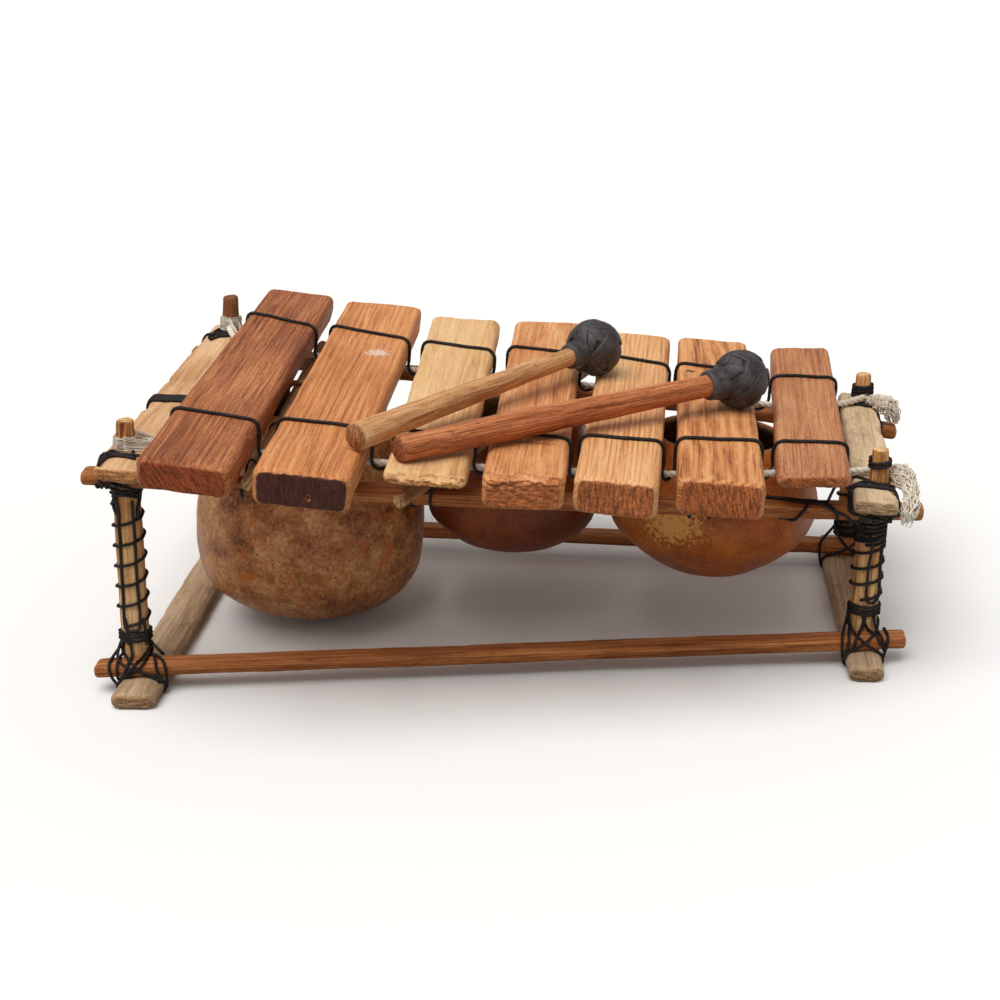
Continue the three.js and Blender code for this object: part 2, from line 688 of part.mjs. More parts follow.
// The binding cord of one strand runs over each bar and under the strand between the bars.
function bindingPoints(curve) {
  const points = [];
  const round = (strandRadius + cordRadius + seatGap) / Math.cos(Math.PI / 8);
  const shoulder = round * Math.tan(Math.PI / 8);
  const bend = (barEdge + cordRadius + seatGap) / Math.cos(Math.PI / 8);
  const last = bars.length - 1;
  const sides = bars.map((bar, i) => {
    const turn = THREE.MathUtils.degToRad(bar.turn);
    const reach = strandReachAt(curve, barAlong[i]);
    const shift = -(reach - bar.middle) * Math.sin(turn);
    const half = barHalfWidth(bar, (reach - bar.middle + bar.length / 2) / bar.length);
    return { middle: barAlong[i] + shift, half, edge: half + cordRadius + 2 * seatGap };
  });
  const under = (along, aside, level) => new THREE.Vector3(along, strandReachAt(curve, along) + aside,
    strandLevel + level);
  bars.forEach((bar, i) => {
    const { middle, half, edge } = sides[i];
    const left = middle - edge;
    const right = middle + edge;
    const before = i === 0 ? left - 4 * cordRadius : sides[i - 1].middle + sides[i - 1].edge;
    if (i === 0) points.push(under(mix(before, left, 0.33), -shoulder, -round));
    points.push(under(mix(before, left, 0.67), shoulder, -round));
    points.push(under(left, round, -shoulder));
    const from = under(left, round, 0).y;
    const to = under(right, -round, 0).y;
    for (const [centre, start] of [[-1, Math.PI], [1, Math.PI / 2]]) {
      for (let s = 0; s <= 2; s += 1) {
        const angle = start - (Math.PI / 4) * s;
        const x = centre * (half - barEdge + seatGap) + bend * Math.cos(angle);
        points.push(new THREE.Vector3(middle + x, mix(from, to, (x + edge) / (2 * edge)),
          barFloor + bar.thickness - barEdge + bend * Math.sin(angle)));
      }
    }
    points.push(under(right, -round, -shoulder));
    if (i < last) {
      const after = sides[i + 1].middle - sides[i + 1].edge;
      points.push(under(mix(right, after, 0.33), -shoulder, -round));
    }
  });
  return points;
}

function addBindings() {
  for (const [name, curve] of [['bar_cord_front', frontStrand], ['bar_cord_back', backStrand]]) {
    const points = bindingPoints(curve);
    console.log(name, 'least gap to itself', leastSelfGap(points, cordRadius).toFixed(2));
    addPiece(deck, name, cordTube(points, cordRadius), colours.cord, 0.8);
  }
}

// Winding of a cord round an eight-sided post or peg: its points lie over the post's corners.

function windPoints(turns, startStep, from, pitch, place, radiusAt) {
  const points = [];
  const steps = Math.round(turns * windingSteps);
  for (let i = 0; i <= steps; i += 1) {
    const angle = (2 * Math.PI * (startStep + i + 0.5)) / windingSteps;
    const height = from + (pitch * i) / windingSteps;
    const radius = radiusAt(height);
    points.push(place(radius * Math.cos(angle), radius * Math.sin(angle), height));
  }
  return points;
}

const wrapRadius = postRadius + (cordRadius + seatGap) / Math.cos(Math.PI / windingSteps);
const wrapPitch = 2 * cordRadius + cordSpacing;
const frontLeftStep = 4;

function addCord(parent, name, points, radius = cordRadius, color = colours.cord) {
  console.log(name, 'least gap to itself', leastSelfGap(points, radius).toFixed(2));
  addPiece(parent, name, cordTube(points, radius), color, 0.85);
}

// Where two cords cross that run from end to end over one face, one up and the other down
function crossingAlong([a, b], [c, d]) {
  return (1 + a / (b - a) + c / (d - c)) / (1 / (b - a) + 1 / (d - c));
}

// Foot lashing: a wrap above the lower rail, an X over the rail's face and an outer loop, both
// passing under the foot board in its groove.
function footLashingPoints(corner) {
  const railTop = footBoard.thickness + seatGap + railHeight;
  const touch = cordRadius + 2 * seatGap;
  const raised = touch + 2 * cordRadius + crossLift;
  const grooveFront = corner.foot - footGroove.front;
  const boardMiddle = corner.footLine.middle(grooveFront);
  const side = corner.footLine.half(grooveFront) + cordRadius + 2 * seatGap;
  const left = boardMiddle - side;
  const right = boardMiddle + side;
  const post = corner.axisX(railTop);
  const onPost = (x, y, height) => new THREE.Vector3(corner.axisX(height) + x, corner.axisY(height) + y, height);
  const onFace = (x, forward, height) => new THREE.Vector3(x, corner.lower(x) - railDepth / 2 - forward, height);
  const inGroove = (x, reach, height) => new THREE.Vector3(x, corner.foot - reach, height);
  const firstPass = footGroove.front - cordRadius - seatGap;
  const secondPass = footGroove.back + cordRadius + 2 * seatGap;
  const farLeft = Math.min(left, post - wrapRadius) - outerLoop;
  const farRight = Math.max(right, post + wrapRadius) + outerLoop;
  const edge = postRadius + seatGap;
  const low = footGroove.depth / 2;
  const topOver = railTop + cordRadius;
  const crossTop = railTop - 2 * cordRadius;
  const crossFoot = footBoard.thickness + cordRadius;
  const innerX = wrapRadius * Math.cos(Math.PI / 8);
  const innerY = wrapRadius * Math.sin(Math.PI / 8);
  const wrapTop = footWrapFloor + footWrapTurns * wrapPitch;
  const wrap = windPoints(footWrapTurns, frontLeftStep - footWrapTurns * windingSteps, wrapTop, -wrapPitch,
    onPost, () => wrapRadius);
  const half = windPoints(0.625, 7, footWrapFloor - wrapLift, 0, onPost, () => wrapRadius);
  const startLeft = post - edge + cordRadius;
  const startRight = post + edge - cordRadius;
  const middle = crossingAlong([startLeft, right], [left, startRight]);
  const heightAt = (x) => mix(crossFoot, crossTop, (x - left) / (startRight - left));
  return [
    ...wrap,
    onFace(post - edge, cordRadius / 2, topOver + cordRadius / 2),
    onFace(startLeft, touch, crossTop),
    onFace(right, touch, crossFoot),
    inGroove(right, firstPass, footGroove.depth),
    inGroove(right - cordRadius, firstPass, low),
    inGroove(left + cordRadius, firstPass, low),
    inGroove(left, firstPass, footGroove.depth),
    onFace(left, touch, crossFoot),
    onFace(middle - crossHalf, raised, heightAt(middle - crossHalf)),
    onFace(middle + crossHalf, raised, heightAt(middle + crossHalf)),
    onFace(startRight, touch, crossTop),
    onFace(post + edge, cordRadius / 2, topOver + cordRadius / 2),
    ...half,
    onFace(farLeft, cordRadius / 2, topOver + cordRadius / 4),
    onFace(farLeft - seatGap, touch, crossTop),
    onFace(farLeft - seatGap, touch, crossFoot),
    onFace(farLeft, touch, footBoard.thickness - cordRadius),
    inGroove(left - cordRadius / 2, secondPass + cordRadius / 2, outerDrop),
    inGroove(left, secondPass, footGroove.depth),
    inGroove(left + cordRadius, secondPass, low),
    inGroove(right - cordRadius, secondPass, low),
    inGroove(right, secondPass, footGroove.depth),
    inGroove(right + cordRadius / 2, secondPass + cordRadius / 2, outerDrop),
    onFace(farRight, touch, footBoard.thickness - cordRadius),
    onFace(farRight + seatGap, touch, crossFoot),
    onFace(farRight + seatGap, touch, crossTop),
    onFace(farRight, cordRadius / 2, topOver + cordRadius / 4),
    onPost(innerX + wrapLift, -innerY - wrapLift, railTop + cordRadius + seatGap),
  ];
}

// Upper lashing: a wrap under the upper rail, an X over its face, up both sides of the upper
// board and over its top in front of the peg.
function topLashingPoints(corner) {
  const touch = cordRadius + 3 * seatGap;
  const raised = touch + 2 * cordRadius + crossLift;
  const leanAngle = Math.atan((corner.topAlong - corner.footAlong) / corner.deckZ) - slope;
  const axis = (level) => corner.deckAlong + level * Math.tan(leanAngle);
  const lean = (level) => corner.axisY(corner.deckZ + level);
  const onPost = (x, y, level) => new THREE.Vector3(axis(level) + x, lean(level) + y, level);
  const onFace = (along, forward, level) => new THREE.Vector3(along,
    corner.upper(along) - railDepth / 2 - forward, level);
  const reach = lean(boardTop) - boardCordReach;
  const onBoard = (along, forward, level) => new THREE.Vector3(along, reach - forward, level);
  const boardMiddle = corner.topLine.middle(reach);
  const side = corner.topLine.half(reach) + cordRadius + 2 * seatGap;
  const left = boardMiddle - side;
  const right = boardMiddle + side;
  const over = boardTop + cordRadius + seatGap;
  const turns = 2;
  const wrap = windPoints(turns, frontLeftStep - turns * windingSteps, -topWrapDrop - turns * wrapPitch, wrapPitch,
    onPost, () => wrapRadius);
  const edge = postRadius - 2 * seatGap;
  const startLeft = corner.deckAlong - edge + cordRadius;
  const startRight = corner.deckAlong + edge - cordRadius;
  const crossLow = cordRadius + seatGap;
  const crossHigh = railHeight - 2 * cordRadius;
  const middle = crossingAlong([startLeft, right], [left, startRight]);
  const levelAt = (along) => mix(crossHigh, crossLow, (along - left) / (startRight - left));
  return [
    ...wrap,
    onFace(corner.deckAlong - edge, cordRadius - seatGap, -cordRadius - seatGap / 2),
    onFace(startLeft, touch, crossLow),
    onFace(right, touch, crossHigh),
    onFace(right, -2 * cordRadius, boardFloor + 2 * cordRadius),
    onBoard(right, cordRadius / 2, boardTop - topBoard.edge),
    onBoard(right - seatGap, 0, boardTop),
    onBoard(right - 2 * cordRadius, 0, over),
    onBoard(left + 2 * cordRadius, 0, over),
    onBoard(left + seatGap, 0, boardTop),
    onBoard(left, cordRadius / 2, boardTop - topBoard.edge),
    onFace(left, -2 * cordRadius, boardFloor + 2 * cordRadius),
    onFace(left, touch, crossHigh),
    onFace(middle - crossHalf, raised, levelAt(middle - crossHalf)),
    onFace(middle + crossHalf, raised, levelAt(middle + crossHalf)),
    onFace(startRight, touch, crossLow),
    onFace(corner.deckAlong + edge, cordRadius - seatGap, -cordRadius - seatGap / 2),
    ...windPoints(0.375, 7, -topLoopDrop, 0, onPost, () => wrapRadius),
  ];
}

// Ladder winding: an open helix up the post, then two upright runs outside its turns.
function ladderPoints(corner) {
  const top = corner.deckZ - ladderTopGap;
  const turns = Math.round((top - ladderFloor) / corner.ladderPitch);
  const pitch = (top - ladderFloor) / turns;
  const onPost = (x, y, height) => new THREE.Vector3(corner.axisX(height) + x, corner.axisY(height) + y, height);
  const outside = wrapRadius + 2 * cordRadius + cordSpacing;
  const upright = (degrees, height) => {
    const angle = THREE.MathUtils.degToRad(degrees - 90);
    return onPost(outside * Math.cos(angle), outside * Math.sin(angle), height);
  };
  const [first, second] = corner.uprights;
  const low = ladderFloor - ladderLoopDrop;
  return [
    ...windPoints(turns - 0.125, 5, ladderFloor, pitch, onPost, () => wrapRadius),
    upright(first, top + 2 * cordRadius),
    upright(first, (top + low) / 2),
    upright(first, low),
    upright((first + second) / 2, low - cordRadius / 4),
    upright(second, low),
    upright(second, (top + low) / 2),
    upright(second, top + 2 * cordRadius),
  ];
}

// Windings on the pegs: cotton string on the left, black cord on the right
function pegWindingPoints(corner) {
  const { rise, turns, radius } = corner.winding;
  const boardLevel = corner.deckZ + boardTop / Math.cos(slope);
  const from = boardLevel + rise;
  const pegAt = (height) => mix(pegRootRadius, pegTipRadius,
    (height - boardLevel + topBoard.thickness) / (corner.rise + topBoard.thickness));
  const onPeg = (x, y, height) => new THREE.Vector3(corner.pegX(height) + x, corner.axisY(height) + y, height);
  return windPoints(turns, 0, from, 2 * radius + cordSpacing / 2 + seatGap / 2, onPeg,
    (height) => pegAt(height) + (radius + seatGap) / Math.cos(Math.PI / windingSteps));
}

// Band of side-by-side turns round the left upper board
function boardBandPoints() {
  const points = [];
  const line = frontLeft.topLine;
  const bandMiddle = boardBand.from + (wrapPitch * boardBand.turns) / 2;
  const side = line.half(bandMiddle) + cordRadius + 2 * seatGap;
  const low = boardFloor - cordRadius - seatGap;
  const high = boardTop + cordRadius + seatGap;
  const bend = cordRadius;
  const ring = [[-side, low + bend], [-side, high - bend], [bend - side, high], [side - bend, high],
    [side, high - bend], [side, low + bend], [side - bend, low], [bend - side, low]];
  const steps = boardBand.turns * ring.length;
  for (let i = 0; i <= steps; i += 1) {
    const [x, level] = ring[i % ring.length];
    const reach = boardBand.from + (wrapPitch * i) / ring.length;
    points.push(new THREE.Vector3(line.middle(reach) + x, reach, level));
  }
  return points;
}

// Tie of a cross stick at the front rail: up behind the rail, aslant over the stick, down the
// front, under the rail and up behind it again.
function stickTiePoints(stick) {
  const [from, to] = stickAxis(stick);
  const share = (lines.upperFront(from.x) - from.y) / (to.y - from.y);
  const place = from.clone().lerp(to, share);
  const lean = (to.x - from.x) / (to.y - from.y);
  const touch = cordRadius + 2 * seatGap;
  const half = railDepth / 2 + touch;
  const aside = crossStickRadius + touch;
  const over = stickLevel + crossStickRadius + touch;
  const shoulder = aside * Math.tan(Math.PI / 8);
  const put = (x, y, level) => {
    const along = place.x + x + y * lean;
    return new THREE.Vector3(along, lines.upperFront(along) + y, level);
  };
  return [
    put(-aside, -half, railHeight / 2),
    put(-aside, -half, -touch),
    put(-aside, half, -touch),
    put(-aside, half, railHeight),
    put(-aside, half / 2, stickLevel + shoulder),
    put(-shoulder, shoulder, over),
    put(shoulder, -shoulder, over),
    put(aside, -half / 2, stickLevel + shoulder),
    put(aside, -half, railHeight),
    put(aside, -half, -touch),
    put(aside, half, -touch),
    put(aside, half, railHeight),
  ];
}

// Loose tie on the upper front rail beside the right corner
function railTiePoints() {
  const touch = cordRadius + 2 * seatGap;
  const top = railHeight + touch;
  const on = (fromPost, aside, level) => {
    const along = frontRight.deckAlong - fromPost;
    return new THREE.Vector3(along, lines.upperFront(along) + aside, level);
  };
  const half = railDepth / 2;
  return [
    on(railTie.reach, half - cordRadius, top),
    on(railTie.knot, -cordRadius, top),
    on(railTie.turn + railTie.bend, -half + cordRadius, top),
    on(railTie.turn, -half - cordRadius, top - cordRadius),
    on(railTie.turn - railTie.bend, -half - touch, railHeight / 2),
    on(railTie.turn - railTie.end, -half - touch, cordRadius),
  ];
}

// Frayed ends of the strands: lumpy tufts beside the right pegs
function tuftGeometry(tuft, strand) {
  const end = strand.points[strand.points.length - 1];
  const path = tuft.path.map(([along, behind, level]) => new THREE.Vector3(end.x + along, end.y + behind, level));
  const rings = path.map((point, i) => {
    const run = path[Math.min(i + 1, path.length - 1)].clone().sub(path[Math.max(i - 1, 0)]).normalize();
    const aside = new THREE.Vector3(run.y, -run.x, 0).normalize();
    const up = run.clone().cross(aside);
    return ovalRing(tuft.radii[i], 10, (a, b) => point.clone().addScaledVector(aside, a).addScaledVector(up, b));
  });
  return loft(rings);
}

function addTufts() {
  for (const tuft of tufts) {
    const strand = tuft.name === 'front' ? frontStrand : backStrand;
    addPiece(deck, `tuft_${tuft.name}`, tuftGeometry(tuft, strand), colours.cotton, 0.95);
  }
}

function addLashings() {
  for (const corner of corners) {
    addCord(balafon, `foot_lashing_${corner.name}`, footLashingPoints(corner));
    addCord(deck, `top_lashing_${corner.name}`, topLashingPoints(corner));
    addCord(balafon, `ladder_cord_${corner.name}`, ladderPoints(corner));
    addCord(balafon, `peg_winding_${corner.name}`, pegWindingPoints(corner), corner.winding.radius,
      corner.winding.color);
  }
  addCord(deck, 'board_band_left', boardBandPoints());
  crossSticks.forEach((stick, i) => addCord(deck, `stick_tie_${i + 1}`, stickTiePoints(stick)));
  addCord(deck, 'rail_tie_right', railTiePoints());
}

// Gourds: shells of revolution, open at the top, hung on sticks through holes under the rim

function gourdProfile(gourd) {
  const outer = new THREE.CatmullRomCurve3(gourd.outlineShares.map(([r, h]) => new THREE.Vector3(
    r * gourd.radius, (h - 1) * gourd.height, 0)), false, 'centripetal').getSpacedPoints(gourdSteps);
  outer[0].x = 0;
  const inner = outer.map((point, i) => {
    const before = outer[Math.max(i - 1, 0)];
    const after = outer[Math.min(i + 1, outer.length - 1)];
    const run = after.clone().sub(before).normalize();
    return new THREE.Vector3(point.x - run.y * gourd.wall, point.y + run.x * gourd.wall, 0);
  });
  inner[0].x = 0;
  inner[0].y = outer[0].y + gourd.wall;
  inner[inner.length - 1].y = outer[outer.length - 1].y;
  const profile = [...outer, ...inner.reverse()];
  return profile.map((point) => new THREE.Vector2(Math.max(point.x, 0), point.y));
}

const stickLevel = railHeight + seatGap + crossStickRadius;

function stickAxis(stick) {
  return [new THREE.Vector3(stick.frontAlong, stick.front, stickLevel),
    new THREE.Vector3(stick.backAlong, stick.back, stickLevel)];
}

function rodBetween(from, to, radii, sides) {
  const run = to.clone().sub(from);
  const aside = new THREE.Vector3(0, 0, 1).cross(run).normalize();
  const up = run.clone().cross(aside).normalize();
  return loft(radii.map(([share, radius]) => ovalRing(radius, sides, (a, b) => from.clone()
    .addScaledVector(run, share).addScaledVector(aside, a).addScaledVector(up, b))));
}

function addGourds() {
  gourds.forEach((gourd, i) => {
    const lathe = new THREE.LatheGeometry(gourdProfile(gourd), gourdSides);
    lathe.rotateX(Math.PI / 2);
    lathe.translate(gourd.along, gourd.across, stickLevel + mouthAboveStick);
    let solid = toSolid(lathe);
    const [from, to] = stickAxis(crossSticks[i]);
    const hole = rodBetween(from, to, [[0, crossStickRadius + stickHoleClearance],
      [1, crossStickRadius + stickHoleClearance]], crossStickSides);
    solid = solid.subtract(toSolid(hole));
    addPiece(deck, `gourd_${i + 1}`, toGeometry(solid), colours.gourd[i], 0.6);
    const stick = rodBetween(from, to, [[0, crossStickRadius - seatGap], [0.004, crossStickRadius],
      [0.996, crossStickRadius], [1, crossStickRadius - seatGap]], crossStickSides);
    addPiece(deck, `gourd_stick_${i + 1}`, stick, colours.postWood, 0.8);
  });
}

// Mallets: a tapered stick that ends in the bore of a head wound from rubber strips

function headGeometry(mallet) {
  const ball = new THREE.SphereGeometry(1, 16, 12);
  ball.deleteAttribute('normal');
  ball.deleteAttribute('uv');
  const geometry = mergeVertices(ball, 1e-5);
  const p = geometry.attributes.position;
  const v = new THREE.Vector3();
  const tilts = stripTilts.map((tilt) => new THREE.Vector3(...tilt).normalize());
  for (let i = 0; i < p.count; i += 1) {
    v.fromBufferAttribute(p, i).normalize();
    let rise = 0;
    for (const tilt of tilts) rise = Math.max(rise, Math.abs(v.dot(tilt)) < stripWidthShare ? 1 : 0);
    v.multiplyScalar(malletHeadRadius - malletStripRise * (1 - rise));
    p.setXYZ(i, v.x, v.y, v.z);
  }
  return geometry;
}

function addMallets() {
  mallets.forEach((mallet, i) => {
    const headTop = barFloor + bars[mallet.headBar - 1].thickness;
    const buttTop = barFloor + bars[mallet.buttBar - 1].thickness;
    const head = new THREE.Vector3(mallet.headAlong, mallet.head,
      headTop + malletHeadRadius + seatGap - mallet.headDip);
    const butt = new THREE.Vector3(mallet.buttAlong, mallet.butt, buttTop + mallet.buttRadius + seatGap);
    const run = head.clone().sub(butt);
    const length = run.length();
    const stickEnd = head.clone().addScaledVector(run, -(malletHeadRadius - malletBoreDepth) / length);
    const reach = stickEnd.clone().sub(butt).length();
    const bareShare = (length - malletHeadRadius) / reach;
    const stick = rodBetween(butt, stickEnd, [[0, mallet.buttRadius * buttEdgeShare],
      [buttRunShare, mallet.buttRadius], [bellyShare, mallet.bellyRadius],
      [bareShare, mallet.neckRadius], [1, mallet.neckRadius]], malletSides);
    addPiece(deck, `mallet_${i + 1}_stick`, stick, colours.stick[i], 0.6);
    const ball = headGeometry(mallet);
    ball.translate(head.x, head.y, head.z);
    const collarFrom = head.clone().addScaledVector(run, -(malletHeadRadius + mallet.collar) / length);
    const collar = rodBetween(collarFrom, head, [[0, mallet.neckRadius + collarRise],
      [collarShoulderShare, mallet.neckRadius + collarShoulder], [1, mallet.neckRadius + collarBase]], malletSides);
    const boreFrom = head.clone().addScaledVector(run, -(malletHeadRadius + mallet.collar + cutOverrun) / length);
    const boreTo = stickEnd.clone().addScaledVector(run, seatGap / length);
    const bore = rodBetween(boreFrom, boreTo, [[0, mallet.neckRadius + seatGap], [1, mallet.neckRadius + seatGap]],
      malletSides);
    const solid = toSolid(ball).add(toSolid(collar)).subtract(toSolid(bore));
    addPiece(deck, `mallet_${i + 1}_head`, toGeometry(solid), colours.rubber, 0.75);
  });
}

addRails();
addPosts();
addBoards();
addStrands();
addBars();
addBindings();
addLashings();
addTufts();
addGourds();
addMallets();

// The origin is the middle of the footprint, on the ground.
balafon.updateMatrixWorld(true);
const bounds = new THREE.Box3().setFromObject(balafon, true);
const middle = bounds.getCenter(new THREE.Vector3());
balafon.position.set(-middle.x, -middle.y, -bounds.min.z);

export default balafon;
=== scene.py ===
# The looks of a small balafon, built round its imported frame.
# Metres, +Z up, +X towards the high bars, the player sits at -Y.

import json
import math

import bmesh
import bpy
import numpy as np
from mathutils import Matrix, Vector
from mathutils.bvhtree import BVHTree


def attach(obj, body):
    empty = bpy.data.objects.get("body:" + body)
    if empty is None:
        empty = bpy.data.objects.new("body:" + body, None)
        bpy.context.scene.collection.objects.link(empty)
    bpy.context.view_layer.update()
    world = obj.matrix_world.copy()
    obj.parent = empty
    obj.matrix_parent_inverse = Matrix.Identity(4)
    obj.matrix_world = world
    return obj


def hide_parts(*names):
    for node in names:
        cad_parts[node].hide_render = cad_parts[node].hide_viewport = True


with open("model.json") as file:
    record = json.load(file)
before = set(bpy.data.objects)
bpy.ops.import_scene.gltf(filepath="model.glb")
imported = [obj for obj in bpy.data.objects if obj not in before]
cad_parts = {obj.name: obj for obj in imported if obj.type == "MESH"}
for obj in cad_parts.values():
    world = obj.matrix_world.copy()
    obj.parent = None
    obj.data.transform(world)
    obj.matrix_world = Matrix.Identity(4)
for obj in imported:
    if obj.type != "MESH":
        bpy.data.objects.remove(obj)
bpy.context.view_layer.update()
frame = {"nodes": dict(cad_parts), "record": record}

MM = 0.001
TAU = 2 * math.pi
RECORD = frame["record"]
BODY_OF = {node: body for body, nodes in RECORD["behaviour"]["bodies"].items() for node in nodes}
CORNERS = ("front_left", "front_right", "back_left", "back_right")

# Camera, solved on the frame's corners in the photograph
CAMERA_PLACE = Vector((0.117686, -1.312975, 0.545541))
CAMERA_YAW = math.radians(-5.75)
CAMERA_PITCH = math.radians(-19.49)
CAMERA_ROLL = math.radians(-1.81)
CAMERA_LENS = 77.16
CAMERA_SENSOR = 36
PHOTO_WIDTH = 1000

# The deck that carries the bars: the middle of the rails' underside, and its fall to the right
DECK_MIDDLE = Vector((-5.11, 5.94, 114.4)) * MM
DECK_FALL = 37.6 * MM
POST_SPAN = 444 * MM
BAR_TOP = 42 * MM
STICK_LEVEL = 13.3 * MM

# Gourds: mouth centre on the deck, greatest radius, height and wall, and the outline as shares
GOURDS = (
    dict(along=-131.2, across=-5, radius=75.2, height=143, wall=4, shares=(
        (0, 0), (0.26, 0.007), (0.52, 0.038), (0.735, 0.093), (0.916, 0.19), (0.987, 0.314),
        (1, 0.42), (0.985, 0.53), (0.91, 0.66), (0.78, 0.79), (0.66, 0.9), (0.62, 1))),
    dict(along=0.4, across=6.8, radius=56.2, height=90.5, wall=3.6, shares=(
        (0, 0), (0.37, 0.016), (0.64, 0.066), (0.86, 0.165), (0.965, 0.25),
        (1, 0.39), (0.985, 0.55), (0.92, 0.7), (0.84, 0.84), (0.79, 0.93), (0.77, 1))),
    dict(along=131, across=-6.6, radius=68.2, height=91, wall=4, shares=(
        (0, 0), (0.27, 0.011), (0.466, 0.054), (0.664, 0.15), (0.78, 0.225), (0.904, 0.32),
        (0.966, 0.41), (1, 0.52), (0.975, 0.65), (0.85, 0.8), (0.7, 0.93), (0.62, 1))),
)
MOUTH_ABOVE_STICK = 7.6 * MM
STICK_RADIUS = 4.4 * MM
STICK_HOLE_RADIUS = 5.3 * MM

# Mallets: the ball and its strips; butt and head centre on the deck, the stick's radii, and the
# collar's length past the ball
HEAD_RADIUS = 18.4 * MM
STRIPS = 9
STRIP_WIDTH = 11 * MM
STRIP_THICKNESS = 1 * MM
MALLETS = (
    dict(butt=(-81, -162, 51), head=(46.6, 34, 59.8), butt_radius=8.6, belly_radius=7.6,
         neck_radius=5.8, collar=9.5),
    dict(butt=(-55, -170, 48.3), head=(141, -16, 60.8), butt_radius=7.8, belly_radius=8.9,
         neck_radius=6.9, collar=8.5),
)

# Frayed cotton ends at the right pegs: places from the strand's end, and the tuft's radius
TUFTS = {
    "front": (((2.2, 1.2, 21.4), (5.5, 0.2, 22.4), (11, -3.5, 24.4), (15.5, -9, 25.8),
               (19.6, -16, 25.2), (22.6, -24, 22.5), (23.4, -32, 19), (22.8, -38.5, 14.5),
               (21.6, -42.5, 9), (20.8, -43.5, 2.5)),
              (2.2, 2.6, 4, 6.2, 6, 4.2, 4.2, 5, 5.2, 2.8)),
    "back": (((2.2, 0.8, 23.6), (7, -1, 24.2), (12, -5, 25.5), (17, -11, 26), (21, -15, 24.5),
              (23.5, -17, 19), (24, -17.5, 13.5)),
             (2.2, 3, 4.2, 5.8, 6.2, 5, 2.6)),
}

# Cords that the photograph shows on the corners, as pixels on the wood that carries them
SEEN_CORDS = {
    "top_lashing_front_left": (
        ((98, 467), (105, 460), (113, 457), (124, 458), (136, 460)),
        ((99, 465), (107, 455), (114, 452), (120, 456), (130, 459), (139, 459)),
        ((96, 483), (104, 488), (110, 494), (114, 503), (118, 514)),
        ((98, 481), (106, 485), (116, 491), (127, 495), (137, 497)),
        ((150, 485), (143, 489), (134, 491), (124, 492), (114, 496)),
        ((151, 487), (144, 494), (138, 498), (137, 507), (138, 516)),
    ),
    "top_lashing_back_left": (
        ((209, 339), (214, 334), (222, 331), (232, 333), (241, 333)),
        ((210, 341), (218, 338), (228, 337), (240, 336)),
        ((212, 337), (221, 333), (231, 335), (241, 338)),
    ),
    "ladder_cord_front_left": (
        ((126, 618), (128, 632), (129, 644)),
        ((143, 618), (145, 632), (146, 644)),
        ((117, 497), (119, 508), (120, 520)),
        ((139, 492), (137, 505), (137, 520)),
    ),
    "foot_lashing_front_left": (
        ((126, 638), (124, 650), (120, 660), (117, 669), (116, 681)),
        ((131, 638), (132, 650), (132, 659), (127, 668), (121, 678)),
        ((124, 640), (125, 652), (131, 664), (140, 671), (150, 678), (158, 683)),
        ((149, 640), (150, 652), (144, 664), (136, 671), (127, 676), (119, 680)),
        ((147, 638), (151, 650), (155, 661), (158, 672), (161, 684)),
        ((151, 643), (158, 650), (163, 655)),
        ((128, 640), (120, 641), (114, 639)),
    ),
    "rail_tie_right": (
        ((768, 496), (786, 500), (803, 503), (818, 505), (836, 512), (850, 520), (862, 526)),
        ((765, 493), (784, 498), (800, 502), (812, 502), (826, 497), (838, 493), (850, 492)),
        ((811, 504), (803, 511), (795, 518), (786, 521), (778, 521)),
    ),
    "top_lashing_front_right": (
        ((856, 514), (866, 519), (878, 521), (890, 518), (900, 513)),
        ((852, 492), (856, 486), (868, 483), (882, 486), (893, 489)),
        ((853, 479), (864, 480), (876, 484), (890, 487)),
    ),
    "foot_lashing_front_right": (
        ((851, 610), (850, 624), (849, 636), (847, 648), (845, 661)),
        ((866, 612), (862, 626), (857, 638), (851, 650), (846, 660)),
        ((874, 612), (877, 626), (881, 638), (884, 650)),
        ((862, 612), (866, 626), (873, 635), (881, 645)),
    ),
}

# Close turns round the posts and pegs: the lowest and highest level and the number of turns
COLLARS = {
    "top_lashing_front_right": ("post_front_right", 74, 86, 5),
    "foot_lashing_back_right": ("post_back_right", 17, 28, 5),
    "peg_winding_back_right": ("post_back_right", 116.8, 124.5, 4),
}
DOUBLED = ("top_lashing_front_right", "top_lashing_back_right")
COTTON_BANDS = {"front_left": (150.3, 160.8), "back_left": (152.5, 161.5)}
TUFT_SHIFT = Vector((-5, 3, -4))

# Cords and cotton: radii, the length of one turn of the plies, the spacing of points, and counts
CORD_RADIUS = 1.05 * MM
BAR_CORD_RADIUS = 1.2 * MM
STRAND_RADIUS = 2.5 * MM
HAIR_RADIUS = 0.09 * MM
CORD_LAY = 5.5 * MM
STRAND_LAY = 17 * MM
CORD_STEP = 0.9 * MM
STRAND_STEP = 1.6 * MM
THREADS_ROUND = 26
THREADS_OUT = 22
YARNS = 150

# How far a cord that the photograph shows may lie from the middle of its CAD cord
SEEN_REACH = 45 * MM

# Woods: the size of the even copy's faces, the share of them that is kept, and how far from a
# piece's ends its end grain shows
VOXEL = 1.2 * MM
FACES_KEPT = 0.4
END_GRAIN_REACH = 16 * MM


# Camera and the deck's own frame

def turned(start, side, angle):
    """The direction start, turned towards side by an angle."""
    return start * math.cos(angle) + side * math.sin(angle)


